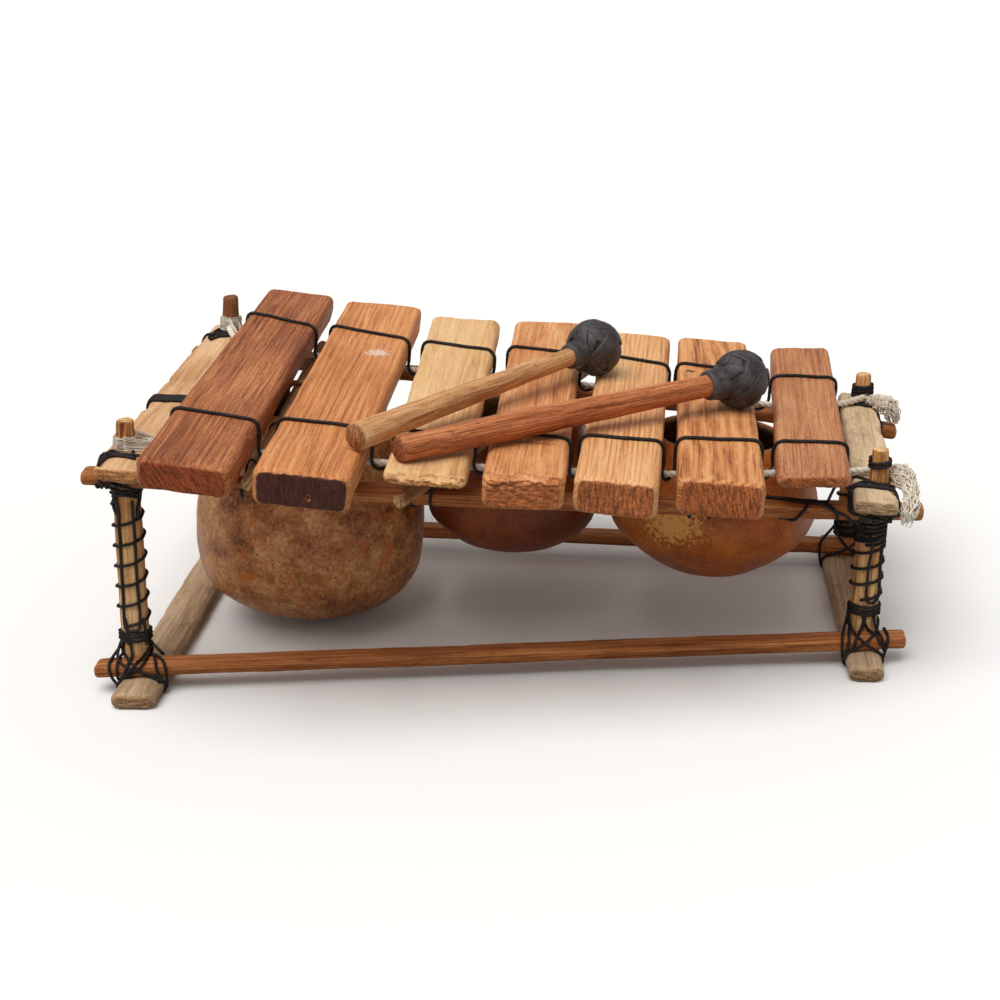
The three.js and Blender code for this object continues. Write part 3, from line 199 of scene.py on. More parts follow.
def camera_axes():
    """The camera's right, up and forward directions."""
    forward = Vector((math.sin(CAMERA_YAW) * math.cos(CAMERA_PITCH),
                      math.cos(CAMERA_YAW) * math.cos(CAMERA_PITCH), math.sin(CAMERA_PITCH)))
    level = Vector((math.cos(CAMERA_YAW), -math.sin(CAMERA_YAW), 0))
    upright = level.cross(forward)
    return turned(level, upright, CAMERA_ROLL), turned(upright, -level, CAMERA_ROLL), forward


def add_camera():
    right, up, forward = camera_axes()
    data = bpy.data.cameras.new("camera")
    data.lens = CAMERA_LENS
    data.sensor_width = CAMERA_SENSOR
    camera = linked("camera", data)
    turn = Matrix((right, up, -forward)).transposed().to_4x4()
    camera.matrix_world = Matrix.Translation(CAMERA_PLACE) @ turn
    bpy.context.scene.camera = camera


def deck_frame():
    """Turns a place on the deck (along, across, above the rails' underside) into the row frame."""
    return Matrix.Translation(DECK_MIDDLE) @ Matrix.Rotation(math.atan(DECK_FALL / POST_SPAN), 4, "Y")


DECK = deck_frame()
DECK_UP = (DECK.to_3x3() @ Vector((0, 0, 1))).normalized()


def on_deck(along, across, up):
    return DECK @ Vector((along, across, up))


def pixel_ray(pixel):
    """The direction from the camera through a pixel of the photograph."""
    right, up, forward = camera_axes()
    reach = CAMERA_LENS / CAMERA_SENSOR * PHOTO_WIDTH
    return forward * reach + right * (pixel[0] - PHOTO_WIDTH / 2) - up * (pixel[1] - PHOTO_WIDTH / 2)


def seen_at(pixel, level):
    """The point that a pixel of the photograph shows on the plane at that height over the deck."""
    ray = pixel_ray(pixel)
    base = on_deck(0, 0, level)
    return CAMERA_PLACE + ray * ((base - CAMERA_PLACE).dot(DECK_UP) / ray.dot(DECK_UP))


# Small tools

def linear(red, green, blue):
    """A colour given as it shows on screen, 0 to 255, as the shader wants it."""
    return tuple(c / 12.92 if c <= 0.04045 else ((c + 0.055) / 1.055) ** 2.4
                 for c in (red / 255, green / 255, blue / 255))


def times(colour, factor):
    return tuple(min(c * factor, 1) for c in colour)


def smoothstep(low, high, value):
    share = np.clip((value - low) / (high - low), 0, 1)
    return share * share * (3 - 2 * share)


def ripple(points, seed, waves=9):
    """A smooth height of about -1 to 1 for each point: sine waves in seeded directions."""
    rng = np.random.default_rng(seed)
    total = np.zeros(len(points))
    for _ in range(waves):
        direction = rng.normal(size=3)
        direction *= TAU * rng.uniform(0.6, 1.6) / np.linalg.norm(direction)
        total += np.sin(points @ direction + rng.uniform(0, TAU))
    return total / math.sqrt(waves)


def two_ripples(points, seed, broad, broad_share, fine, fine_share):
    """A broad and a fine ripple together."""
    return ripple(points * broad, seed) * broad_share + ripple(points * fine, seed + 1) * fine_share


def triples(items, field):
    flat = np.empty(len(items) * 3, np.float32)
    items.foreach_get(field, flat)
    return flat.reshape(-1, 3).astype(float)


def vertex_array(mesh):
    return triples(mesh.vertices, "co")


def normal_array(mesh):
    return triples(mesh.vertex_normals, "vector")


def lengths(vectors):
    return np.linalg.norm(vectors, axis=1)


def unit(vectors):
    return vectors / lengths(vectors)[:, None]


def gaps(path):
    """The distances from each point of a line to the next."""
    return lengths(np.diff(path, axis=0))


def run_of(steps):
    """How far along a line each point lies, from the steps between them."""
    return np.concatenate([[0], np.cumsum(steps)])


def box_middle(points):
    return (points.max(0) + points.min(0)) / 2


def set_vertices(mesh, points):
    mesh.vertices.foreach_set("co", np.ascontiguousarray(points, np.float32).ravel())
    mesh.update()


def paint(mesh, name, values):
    """Stores a number or a vector on each vertex for the shader to read."""
    kind = "FLOAT_VECTOR" if values.ndim == 2 else "FLOAT"
    attribute = mesh.attributes.get(name) or mesh.attributes.new(name, kind, "POINT")
    field = "vector" if values.ndim == 2 else "value"
    attribute.data.foreach_set(field, np.ascontiguousarray(values, np.float32).ravel())


def mesh_of(name, points, faces):
    mesh = bpy.data.meshes.new(name)
    mesh.from_pydata(np.asarray(points, float).tolist(), [], faces)
    mesh.update()
    return mesh


def linked(name, data):
    """A new object in the scene."""
    made = bpy.data.objects.new(name, data)
    bpy.context.scene.collection.objects.link(made)
    return made


def place(name, mesh, material, node):
    """Puts a mesh in the scene in place of a CAD node, on its body and with the given material."""
    mesh.polygons.foreach_set("use_smooth", [True] * len(mesh.polygons))
    mesh.materials.clear()
    mesh.materials.append(material)
    piece = linked(name, mesh)
    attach(piece, BODY_OF[node])
    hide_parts(node)
    return piece


def evaluated(mesh, steps):
    """A new mesh: the given one after a row of modifiers, each a kind and its settings."""
    work = linked("work", mesh)
    for kind, settings in steps:
        modifier = work.modifiers.new(kind, kind)
        for key, value in settings.items():
            setattr(modifier, key, value)
    bpy.context.view_layer.update()
    depsgraph = bpy.context.evaluated_depsgraph_get()
    made = bpy.data.meshes.new_from_object(work.evaluated_get(depsgraph))
    bpy.data.objects.remove(work)
    return made


def even_copy(node, voxel):
    """A CAD node's mesh as small even faces with its sharp edges eased."""
    return evaluated(frame["nodes"][node].data.copy(), [
        ("WELD", dict(merge_threshold=0.02 * MM)),
        ("REMESH", dict(mode="VOXEL", voxel_size=voxel)),
        ("SMOOTH", dict(factor=0.5, iterations=1))])


class Local:
    """A piece's own frame: its long direction, its width and its height, from its points."""

    def __init__(self, points, up=None):
        self.centre = box_middle(points)
        spread = np.linalg.eigh(np.cov((points - points.mean(0)).T))[1]
        along = spread[:, 2]
        along = along * np.sign(along[np.argmax(np.abs(along))])
        height = np.array(up) if up is not None else spread[:, 0]
        height = height - along * (height @ along)
        height /= np.linalg.norm(height) * (np.sign(height[2]) or 1)
        self.axes = np.array([along, np.cross(along, height), height])
        inside = (points - self.centre) @ self.axes.T
        self.centre = self.centre + box_middle(inside) @ self.axes
        self.half = (inside.max(0) - inside.min(0)) / 2

    def inside(self, points):
        return (points - self.centre) @ self.axes.T


# Shaders

class Nodes:
    """The node tree of a material or a world."""

    def __init__(self, owner):
        owner.use_nodes = True
        self.tree = owner.node_tree
        self.tree.nodes.clear()

    def add(self, kind, inputs=None, **settings):
        node = self.tree.nodes.new(f"ShaderNode{kind}")
        for key, value in settings.items():
            setattr(node, key, value)
        for key, value in (inputs or {}).items():
            self.feed(node.inputs[key], value)
        return node

    def out(self, kind, inputs=None, **settings):
        """The first output of a new node."""
        return self.add(kind, inputs, **settings).outputs[0]

    def feed(self, socket, value):
        if isinstance(value, bpy.types.NodeSocket):
            self.tree.links.new(value, socket)
        elif hasattr(value, "__len__") and len(value) == 3 and len(socket.default_value) == 4:
            socket.default_value = (*value, 1)
        else:
            socket.default_value = value


class Shader(Nodes):
    """A material and short ways to add its nodes."""

    def __init__(self, name, roughness=0.6, specular=0.35):
        self.material = bpy.data.materials.new(name)
        super().__init__(self.material)
        self.surface = self.add("BsdfPrincipled",
                                {"Roughness": roughness, "Specular IOR Level": specular})
        self.add("OutputMaterial", {0: self.surface.outputs[0]})

    def attribute(self, name, output="Vector"):
        return self.add("Attribute", attribute_name=name).outputs[output]

    def own_place(self):
        return self.add("TexCoord").outputs["Object"]

    def scaled(self, vector, scale, shift=(0, 0, 0), turn=0.0):
        return self.out("Mapping", {"Vector": vector, "Scale": scale, "Location": shift,
                                    "Rotation": (turn, 0, 0)})

    def noise(self, vector, scale, detail=3.0, rough=0.55, distortion=0.0):
        """Noise in one scale, or in three along the axes."""
        if isinstance(scale, tuple):
            vector, scale = self.scaled(vector, scale), 1.0
        return self.out("TexNoise", {"Vector": vector, "Scale": scale, "Detail": detail,
                                     "Roughness": rough, "Distortion": distortion})

    def calc(self, operation, first, second=0.0, clamp=False):
        return self.out("Math", {0: first, 1: second}, operation=operation, use_clamp=clamp)

    def between(self, value, low, high, to_low=0.0, to_high=1.0):
        ends = {"Value": value, "From Min": low, "From Max": high, "To Min": to_low, "To Max": to_high}
        return self.out("MapRange", ends, interpolation_type="SMOOTHSTEP")

    def mix(self, share, first, second, how="MIX"):
        node = self.add("Mix", data_type="RGBA", blend_type=how)
        for index, value in ((0, share), (6, first), (7, second)):
            self.feed(node.inputs[index], value)
        return node.outputs[2]

    def tinted(self, colour, share, depth, shade, how="MIX"):
        """The colour with a shade laid on it where share is 1, at the given depth."""
        return self.mix(self.calc("MULTIPLY", share, depth), colour, shade, how)

    def marked(self, colour, marks):
        """The colour with ragged spots: a point, half-widths in mm, a screen colour and a depth each."""
        for point, radii, shade, depth in marks:
            colour = self.tinted(colour, self.spot(point, radii), depth, linear(*shade))
        return colour

    def edges(self, low, high):
        """1 on worn outer edges."""
        return self.between(self.add("NewGeometry").outputs["Pointiness"], low, high)

    def ramp(self, value, stops):
        node = self.add("ValToRGB", {0: value})
        elements = node.color_ramp.elements
        while len(elements) < len(stops):
            elements.new(0.5)
        for element, (position, colour) in zip(elements, stops):
            element.position = position
            element.color = (*colour, 1)
        return node.outputs[0]

    def total(self, *terms):
        """The sum of (share, value) terms."""
        sum_so_far = self.calc("MULTIPLY", terms[0][1], terms[0][0])
        for share, value in terms[1:]:
            sum_so_far = self.calc("ADD", sum_so_far, self.calc("MULTIPLY", value, share))
        return sum_so_far

    def spot(self, point, radii):
        """1 at a point and 0 past the given half-widths, with a ragged rim."""
        vector = self.own_place()
        scale = [1 / (r * MM) for r in radii]
        offset = self.scaled(vector, scale, [-p * s for p, s in zip(point, scale)])
        length = self.add("VectorMath", {0: offset}, operation="LENGTH").outputs["Value"]
        ragged = self.calc("ADD", length, self.between(self.noise(vector, 400, 4), 0.3, 0.7, -0.5, 0.5))
        return self.between(ragged, 1.0, 0.5)

    def finish(self, colour, roughness=None, height=None, strength=0.3, distance=0.4 * MM):
        self.feed(self.surface.inputs["Base Color"], colour)
        if roughness is not None:
            self.feed(self.surface.inputs["Roughness"], roughness)
        if height is not None:
            bump = {"Height": height, "Strength": strength, "Distance": distance}
            self.feed(self.surface.inputs["Normal"], self.out("Bump", bump))
        return self.material


def wood(name, dark, middle, light, end, streak=150, figure=0.0, ring=4.0, pores=0.35, roughness=0.62,
         broad=0.25, dirt=0.0, marks=(), wander=0.0035, contrast=0.1, end_turn=0.0, fleck=150):
    """Sawn or carved wood in screen colours: streaks, pores and growth rings along the piece's grain."""
    dark, middle, light, end = (linear(*shade) for shade in (dark, middle, light, end))
    s = Shader(name, roughness, 0.22)
    local = s.attribute("grain")
    drift = s.add("TexNoise", {"Vector": s.scaled(local, (9, 16, 16)), "Scale": 1.0,
                               "Detail": 2.0}).outputs[1]
    pull = s.out("VectorMath", {0: drift, 1: (0, wander, wander)}, operation="MULTIPLY")
    bent = s.out("VectorMath", {0: local, 1: pull}, operation="ADD")
    streaks = s.noise(bent, (9, streak, streak), 5, 0.6)
    fibres = s.noise(bent, (13, streak * 6, streak * 6), 3, 0.6)
    patches = s.noise(local, (7, 24, 24))
    rings = {"Vector": s.scaled(bent, (0.35, 1, 1), (0, 14 * MM, 26 * MM)), "Scale": 0.314 / (ring * MM),
             "Distortion": 2.4, "Detail": 2.0, "Detail Scale": 0.6}
    wave = s.add("TexWave", rings, wave_type="RINGS", rings_direction="X").outputs[1]
    tone = s.total((0.26, streaks), (0.42, fibres), (broad, patches), (figure, wave))
    half = 0.5 * (0.26 + 0.42 + broad + figure)
    colour = s.ramp(tone, [(half - contrast, dark), (half, middle), (half + contrast, light)])
    pore = s.between(s.noise(bent, (fleck, 1900, 1900), 2), 0.56, 0.68)
    colour = s.tinted(colour, pore, pores, dark, "MULTIPLY")
    end_face = s.scaled(local, (1, 1, 1), turn=end_turn)
    end_streaks = s.total((0.65, s.noise(end_face, (120, 130, 900), 4, 0.6)),
                          (0.35, s.noise(local, (700, 900, 900), 2)))
    end_colour = s.ramp(end_streaks, [(0.4, times(end, 0.45)), (0.5, end), (0.6, times(end, 1.7))])
    colour = s.mix(s.attribute("end", "Fac"), colour, end_colour)
    colour = s.tinted(colour, s.edges(0.53, 0.62), 0.2, light)
    if dirt:
        grime = s.between(s.noise(local, (30, 60, 60), 6, 0.7), 0.5, 0.72)
        colour = s.tinted(colour, grime, dirt, times(dark, 0.35))
    height = s.total((0.6, fibres), (0.5, streaks), (-0.6, pore))
    rough = s.between(streaks, 0.3, 0.7, roughness - 0.08, roughness + 0.1)
    return s.finish(s.marked(colour, marks), rough, height, 0.5, 0.35 * MM)


def rind(name, dark, middle, light, spot_colour, freckle, speckle, marks=(), contrast=0.11):
    """A gourd's dried skin outside and its pale pith inside, in screen colours."""
    dark, middle, light, spot_colour = (linear(*shade) for shade in (dark, middle, light, spot_colour))
    s = Shader(name, 0.5)
    local = s.attribute("grain")
    clouds = s.noise(local, 28, 8, 0.68, 0.4)
    blotch = s.noise(local, 62, 5, 0.6)
    fine = s.noise(local, 420, 4, 0.7)
    tone = s.total((0.45, clouds), (0.25, blotch), (0.3, fine))
    colour = s.ramp(tone, [(0.5 - contrast, dark), (0.5, middle), (0.5 + contrast, light)])
    orange = s.between(s.noise(s.scaled(local, (1, 1, 1), (0.3, 0.1, 0.2)), 85, 3, 0.5), 0.6, 0.7)
    colour = s.tinted(colour, orange, freckle, spot_colour)
    dots = s.add("TexVoronoi", {"Vector": local, "Scale": 190.0, "Randomness": 1.0})
    dot = s.calc("MULTIPLY", s.between(dots.outputs["Distance"], 0.2, 0.08),
                 s.between(s.noise(local, 45, 3), 0.5, 0.6))
    colour = s.tinted(colour, dot, speckle, times(dark, 0.25))
    pith = s.ramp(s.noise(local, 240, 5, 0.7), [
        (0.35, linear(120, 84, 52)), (0.65, linear(196, 152, 104))])
    colour = s.mix(s.attribute("inside", "Fac"), s.marked(colour, marks), pith)
    height = s.total((0.6, blotch), (0.5, fine), (-0.5, dot))
    return s.finish(colour, s.between(clouds, 0.3, 0.7, 0.42, 0.62), height, 0.35, 0.5 * MM)


def cord_finish(name, shade, highlight, roughness):
    s = Shader(name, roughness, 0.3)
    vector = s.own_place()
    fluff = s.noise(vector, 1400, 3, 0.6)
    tone = s.total((0.5, fluff), (0.5, s.noise(vector, 70, 2)))
    colour = s.ramp(tone, [(0.38, linear(*shade)), (0.62, linear(*highlight))])
    return s.finish(colour, None, fluff, 0.5, 0.15 * MM)


def rubber_finish():
    s = Shader("rubber_strips", 0.5, 0.45)
    vector = s.own_place()
    dust = s.noise(vector, 130, 6, 0.7)
    scuff = s.noise(vector, (900, 250, 900), 3, 0.6)
    colour = s.ramp(s.total((0.7, dust), (0.3, scuff)), [
        (0.36, linear(34, 29, 30)), (0.5, linear(56, 50, 52)), (0.66, linear(90, 84, 86))])
    colour = s.tinted(colour, s.edges(0.5, 0.6), 0.35, linear(120, 115, 118))
    return s.finish(colour, s.between(dust, 0.3, 0.7, 0.42, 0.62), scuff, 0.25, 0.2 * MM)


# Wooden pieces: each is an even copy of its CAD node, worn by hand-sized ripples and chips

def chip_edges(points, local, inside, seed, count, size):
    """Pushes small bites into the long edges of a piece."""
    rng = np.random.default_rng(seed)
    for _ in range(count):
        corner = np.array([rng.uniform(-1, 1), rng.choice([-1, 1]), rng.choice([-1, 1])]) * local.half
        radius = size * rng.uniform(0.6, 1.3)
        reach = lengths((inside - corner) * (0.45, 1, 1))
        bite = np.clip(1 - reach / radius, 0, 1) ** 1.5 * radius * 0.35
        points = points - bite[:, None] * (np.sign(corner) * (0, 1, 1)) @ local.axes
    return points


def worked(node, material, unevenness, seed, chips, chip_size=4 * MM, voxel=VOXEL, carve=None, up=None):
    """A wooden piece: eased edges, uneven faces, chips and its own carving."""
    mesh = even_copy(node, voxel)
    points = vertex_array(mesh)
    local = Local(points, up)
    inside = local.inside(points)
    normals = normal_array(mesh)
    lift = two_ripples(inside, seed, (14, 45, 45), 0.7, (60, 170, 170), 0.3)
    points = points + normals * (lift * unevenness)[:, None]
    points = chip_edges(points, local, inside, seed + 2, chips, chip_size)
    if carve:
        points = carve(points, local, inside)
    points[:, 2] = np.maximum(points[:, 2], 0)
    set_vertices(mesh, points)
    mesh = evaluated(mesh, [("DECIMATE", dict(ratio=FACES_KEPT))])
    inside = local.inside(vertex_array(mesh))
    paint(mesh, "grain", inside + np.random.default_rng(seed + 5).uniform(-1, 1, 3))
    facing = np.abs(normal_array(mesh) @ local.axes[0])
    near_end = np.abs(inside[:, 0]) > local.half[0] - END_GRAIN_REACH
    paint(mesh, "end", smoothstep(0.55, 0.8, facing) * near_end)
    return place(f"{node}_wood", mesh, material, node)


# Bars. Marks are places on the photograph, sizes are real.

def torn_front(depth, rows, seed, lip=0.0, lip_length=6 * MM):
    """A front end broken or sawn roughly: ragged along its edge, its top torn down by the lip."""
    def carve(points, local, inside):
        rng = np.random.default_rng(seed)
        near = smoothstep(-local.half[0] + 9 * MM, -local.half[0], inside[:, 0])
        ragged = two_ripples(inside, seed, (90, 260, 420), 0.6, (300, 900, 900), 0.4)
        points = points + (near * ragged * depth)[:, None] * local.axes[0]
        for _ in range(rows):
            level = rng.uniform(-0.7, 0.7) * local.half[2]
            wander = level + ripple(inside * (0, 120, 0), seed + 7) * 1.6 * MM
            line = np.exp(-((inside[:, 2] - wander) / (0.8 * MM)) ** 2) * near
            points = points + (line * 1.8 * MM)[:, None] * local.axes[0]
        if lip:
            edge = lip_length * (1 + 0.45 * ripple(inside * (0, 130, 0), seed + 9)) - local.half[0]
            torn = smoothstep(edge + 0.8 * MM, edge, inside[:, 0])
            torn = torn * smoothstep(0, local.half[2], inside[:, 2])
            points = points - (torn * lip)[:, None] * local.axes[2]
        return points
    return carve


def bored_front(points, local, inside):
    """The small hole low in the second bar's front end."""
    at = np.array([-local.half[0], 4 * MM, -3.5 * MM])
    gap = lengths((inside - at) * (0, 1, 1))
    near = inside[:, 0] < -local.half[0] + 8 * MM
    sink = np.clip(1 - gap / (1.9 * MM), 0, 1) * near
    return points + (sink * 5 * MM)[:, None] * local.axes[0]


def bar_marks(number):
    """The pale scuff on bar 2, the tear on bar 4 and the black fleck on bar 6."""
    return {
        2: [(seen_at((378, 353), BAR_TOP), (9, 8, 9), (238, 214, 200), 0.75)],
        4: [(seen_at((530, 443), BAR_TOP), (20, 3.5, 9), (120, 70, 42), 0.55)],
        6: [(seen_at((690, 371), BAR_TOP), (3.4, 3, 9), (30, 22, 18), 0.95)],
    }.get(number, [])


# The screen colours dark, middle, light and end grain of each bar, and the rest of its look
BARS = {
    1: ((108, 52, 26), (165, 98, 60), (212, 142, 92), (134, 64, 32), dict(
        streak=190, pores=0.6, figure=0.03, fleck=210, contrast=0.11, end_turn=0.9)),
    2: ((162, 90, 42), (213, 140, 86), (238, 176, 118), (66, 31, 23), dict(
        streak=210, pores=0.4, figure=0.05, fleck=180, contrast=0.125, end_turn=1.4)),
    3: ((186, 132, 78), (229, 182, 128), (246, 210, 160), (186, 128, 76), dict(
        streak=90, pores=0.25, figure=0.05, ring=6, contrast=0.16)),
    4: ((168, 98, 52), (220, 152, 98), (238, 186, 134), (176, 104, 60), dict(
        streak=120, pores=0.3, figure=0.06, ring=3.2, contrast=0.13, wander=0.006, end_turn=0.1)),
    5: ((186, 118, 66), (230, 170, 116), (246, 202, 152), (166, 97, 56), dict(
        streak=150, pores=0.25, figure=0.08, ring=2.6, contrast=0.135, wander=0.002, end_turn=1.5)),
    6: ((146, 80, 40), (216, 146, 92), (238, 180, 124), (162, 91, 50), dict(
        streak=110, pores=0.25, figure=0.11, ring=2.3, contrast=0.135, wander=0.006, end_turn=1.35)),
    7: ((138, 78, 46), (190, 126, 84), (216, 156, 112), (160, 92, 52), dict(
        streak=190, pores=0.5, figure=0.04, fleck=200, contrast=0.12, end_turn=0.7)),
}
BAR_CARVING = {
    2: bored_front,
    3: torn_front(1.6 * MM, 0, 31, 1.8 * MM, 4 * MM),
    4: torn_front(0.9 * MM, 1, 41, 2.2 * MM),
    5: torn_front(0.5 * MM, 0, 51),
    7: torn_front(0.5 * MM, 0, 71),
}


def bars():
    """Makes the bars, one after the other."""
    for number, (*colours, look) in BARS.items():
        material = wood(f"bar_{number}_wood", *colours, marks=bar_marks(number), roughness=0.58, **look)
        yield worked(f"bar_{number}", material, 0.3 * MM, 10 * number, 16, 3.5 * MM,
                     carve=BAR_CARVING.get(number), up=DECK_UP)


def frame_woods():
    """Makes the boards, rails and posts, one after the other."""
    rail = wood("rail_wood", (114, 59, 28), (175, 106, 57), (210, 145, 88), (182, 110, 58), pores=0.4,
                figure=0.05, dirt=0.2, contrast=0.11)
    foot = wood("foot_wood", (128, 98, 68), (184, 154, 122), (212, 186, 154), (156, 122, 88), pores=0.25,
                dirt=0.45, roughness=0.72, contrast=0.14, broad=0.5)
    left = wood("left_board_wood", (176, 118, 70), (222, 176, 130), (238, 202, 160), (180, 124, 78),
                streak=140, pores=0.2, dirt=0.3, roughness=0.7, contrast=0.15, broad=0.55)
    right = wood("right_board_wood", (170, 138, 100), (216, 188, 152), (232, 210, 178), (172, 142, 106),
                 streak=130, pores=0.2, dirt=0.5, roughness=0.75, contrast=0.16, broad=0.6)
    dark_peg = (Vector((-221.4, 161, 171)) * MM, (40, 40, 40), (112, 54, 30), 0.9)
    post = wood("post_wood", (118, 60, 26), (222, 158, 97), (248, 207, 148), (226, 178, 124), streak=110,
                pores=0.5, dirt=0.3, broad=0.4, roughness=0.68, marks=[dark_peg])
    for name in ("lower_rail_front", "lower_rail_back", "upper_rail_front", "upper_rail_back"):
        yield worked(name, rail, 0.25 * MM, len(name) * 3, 22, 3 * MM)
    for side, board in (("left", left), ("right", right)):
        yield worked(f"foot_board_{side}", foot, 0.45 * MM, 201 + len(side), 16)
        yield worked(f"top_board_{side}", board, 0.5 * MM, 221 + len(side), 18, 5 * MM)
    for index, corner in enumerate(CORNERS):
        yield worked(f"post_{corner}", post, 0.4 * MM, 240 + 7 * index, 10, 3 * MM, 1.1 * MM)


# Closed rings of points, and lines with even steps

def tube_faces(rings, sides):
    """The faces between rings of points that lie one after the other."""
    faces = []
    for base in range(0, (rings - 1) * sides, sides):
        for side in range(sides):
            a, b = base + side, base + (side + 1) % sides
            faces.append((a, b, b + sides, a + sides))
    return faces


def capped(rings, sides):
    """The same with a face over each end."""
    start, end = tuple(range(sides)), tuple(range((rings - 1) * sides, rings * sides))
    return tube_faces(rings, sides) + [start[::-1], end]


def round_outline(shares, steps):
    """A smooth line through an outline's shares, evenly spaced."""
    points = np.array(shares, float)
    run = run_of(np.sqrt(gaps(points)))
    fine = []
    for share in np.linspace(0, run[-1], steps * 6):
        i = min(np.searchsorted(run, share, "right") - 1, len(points) - 2)
        before, after = points[max(i - 1, 0)], points[min(i + 2, len(points) - 1)]
        a, b = points[i], points[i + 1]
        gap = run[i + 1] - run[i]
        t = (share - run[i]) / gap
        out = (b - before) * gap / (run[i + 1] - run[max(i - 1, 0)])
        into = (after - a) * gap / (run[min(i + 2, len(points) - 1)] - run[i])
        fine.append((2 * t ** 3 - 3 * t ** 2 + 1) * a + (t ** 3 - 2 * t ** 2 + t) * out
                    + (3 * t ** 2 - 2 * t ** 3) * b + (t ** 3 - t ** 2) * into)
    return resampled(np.array(fine), steps)


def resampled(path, steps):
    """The same line with evenly spaced points."""
    run = run_of(gaps(path))
    even = np.linspace(0, run[-1], steps)
    return np.stack([np.interp(even, run, path[:, k]) for k in range(path.shape[1])], axis=1)


# Gourds

def gourd_shell(gourd, seed, sides=96, steps=44):
    """The gourd's outer and inner skin as one closed turned form, slightly out of round."""
    outer = round_outline(gourd["shares"], steps) * (gourd["radius"] * MM, gourd["height"] * MM)
    outer[:, 1] -= gourd["height"] * MM
    outer[0, 0] = 0
    run = unit(np.gradient(outer, axis=0))
    wall = gourd["wall"] * MM
    inner = outer + np.stack([-run[:, 1], run[:, 0]], axis=1) * wall
    inner[0] = (0, outer[0, 1] + wall)
    inner[-1, 1] = outer[-1, 1]
    inner[:, 0] = np.maximum(inner[:, 0], 0)
    profile = np.concatenate([outer, inner[::-1]])
    angles = TAU * np.arange(sides) / sides
    points = [(radius * math.cos(a), radius * math.sin(a), height)
              for radius, height in profile[1:-1] for a in angles]
    rings = len(profile) - 2
    faces = tube_faces(rings, sides)
    for ring, height in ((0, profile[0][1]), (rings - 1, profile[-1][1])):
        centre = len(points)
        points.append((0, 0, height))
        for side in range(sides):
            pair = (ring * sides + side, ring * sides + (side + 1) % sides)
            faces.append((centre, *(pair[::-1] if ring == 0 else pair)))
    points = np.array(points)
    swell = ripple(points * 9, seed) * 0.7 * MM + ripple(points * 34, seed + 1) * 0.3 * MM
    flat = lengths(points[:, :2])
    outward = points * (1, 1, 0) / np.maximum(flat, 1e-6)[:, None]
    points = points + outward * (swell * smoothstep(0, 12 * MM, flat))[:, None]
    mesh = mesh_of("gourd", points, faces)
    inside = np.zeros(len(points))
    inside[(steps - 1) * sides:rings * sides] = 1
    inside[-1] = 1
    paint(mesh, "inside", inside)
    return mesh


def stick_ends(number):
    """The two ends of a cross stick's axis, from its CAD node."""
    points = vertex_array(frame["nodes"][f"gourd_stick_{number}"].data)
    depth = points[:, 1]
    near_end = 4 * MM
    return (Vector(box_middle(points[depth < depth.min() + near_end])),
            Vector(box_middle(points[depth > depth.max() - near_end])))


def hole_cutter(number):
    front, back = stick_ends(number)
    made = bmesh.new()
    turn = (back - front).to_track_quat("Z", "Y").to_matrix().to_4x4()
    bmesh.ops.create_cone(made, cap_ends=True, segments=24, radius1=STICK_HOLE_RADIUS,
                          radius2=STICK_HOLE_RADIUS, depth=(back - front).length,
                          matrix=Matrix.Translation((front + back) / 2) @ turn)
    mesh = bpy.data.meshes.new("hole")
    made.to_mesh(mesh)
    made.free()
    return linked("hole", mesh)


def add_gourds():
    made = frame["nodes"]["gourd_3"].data
    corners = [v.co for v in made.vertices]
    carrier = BVHTree.FromPolygons(corners, [list(p.vertices) for p in made.polygons])
    patch = carrier.ray_cast(CAMERA_PLACE, pixel_ray((672, 524)))[0]
    looks = (
        rind("gourd_1_rind", (106, 57, 26), (194, 125, 72), (238, 186, 130), (214, 112, 42), 0.8, 0.9,
             contrast=0.095),
        rind("gourd_2_rind", (84, 34, 14), (122, 56, 25), (152, 80, 38), (150, 68, 24), 0.5, 0.3),
        rind("gourd_3_rind", (140, 66, 22), (188, 98, 36), (216, 130, 56), (222, 132, 52), 0.5, 0.6,
             marks=[(patch, (21, 30, 15), (242, 174, 92), 1.0)]),
    )
    for number, (gourd, look) in enumerate(zip(GOURDS, looks), 1):
        mesh = gourd_shell(gourd, 300 + number)
        paint(mesh, "grain", vertex_array(mesh) + number)
        mouth = on_deck(gourd["along"] * MM, gourd["across"] * MM, STICK_LEVEL + MOUTH_ABOVE_STICK)
        mesh.transform(Matrix.Translation(mouth) @ DECK.to_3x3().to_4x4())
        cutter = hole_cutter(number)
        hole = dict(object=cutter, operation="DIFFERENCE", solver="EXACT")
        mesh = evaluated(mesh, [("BOOLEAN", hole)])
        bpy.data.objects.remove(cutter)
        place(f"gourd_{number}_shell", mesh, look, f"gourd_{number}")


# Round sticks: a line of sections with a hand-cut outline

def carried_frames(path):
    """Directions along, aside and up at each point of a line, turning as little as they can."""
    along = unit(np.gradient(path, axis=0))
    start = np.cross(along[0], (0, 0, 1) if abs(along[0, 2]) < 0.9 else (1, 0, 0))
    aside = np.empty_like(path)
    aside[0] = start / np.linalg.norm(start)
    for i in range(1, len(path)):
        side = aside[i - 1] - along[i] * (aside[i - 1] @ along[i])
        aside[i] = side / np.linalg.norm(side)
    return along, aside, np.cross(along, aside)


def swept(path, angles, radii):
    """Points and faces of a closed tube: angles and radii are arrays of rings by corners."""
    _, aside, up = carried_frames(path)
    rings, sides = radii.shape
    points = (path[:, None] + aside[:, None] * (radii * np.cos(angles))[..., None]
              + up[:, None] * (radii * np.sin(angles))[..., None]).reshape(-1, 3)
    return points, capped(rings, sides)


def even_angles(sides, rings):
    """The same even angles for each of a tube's rings."""
    return np.broadcast_to(TAU * np.arange(sides) / sides, (rings, sides))


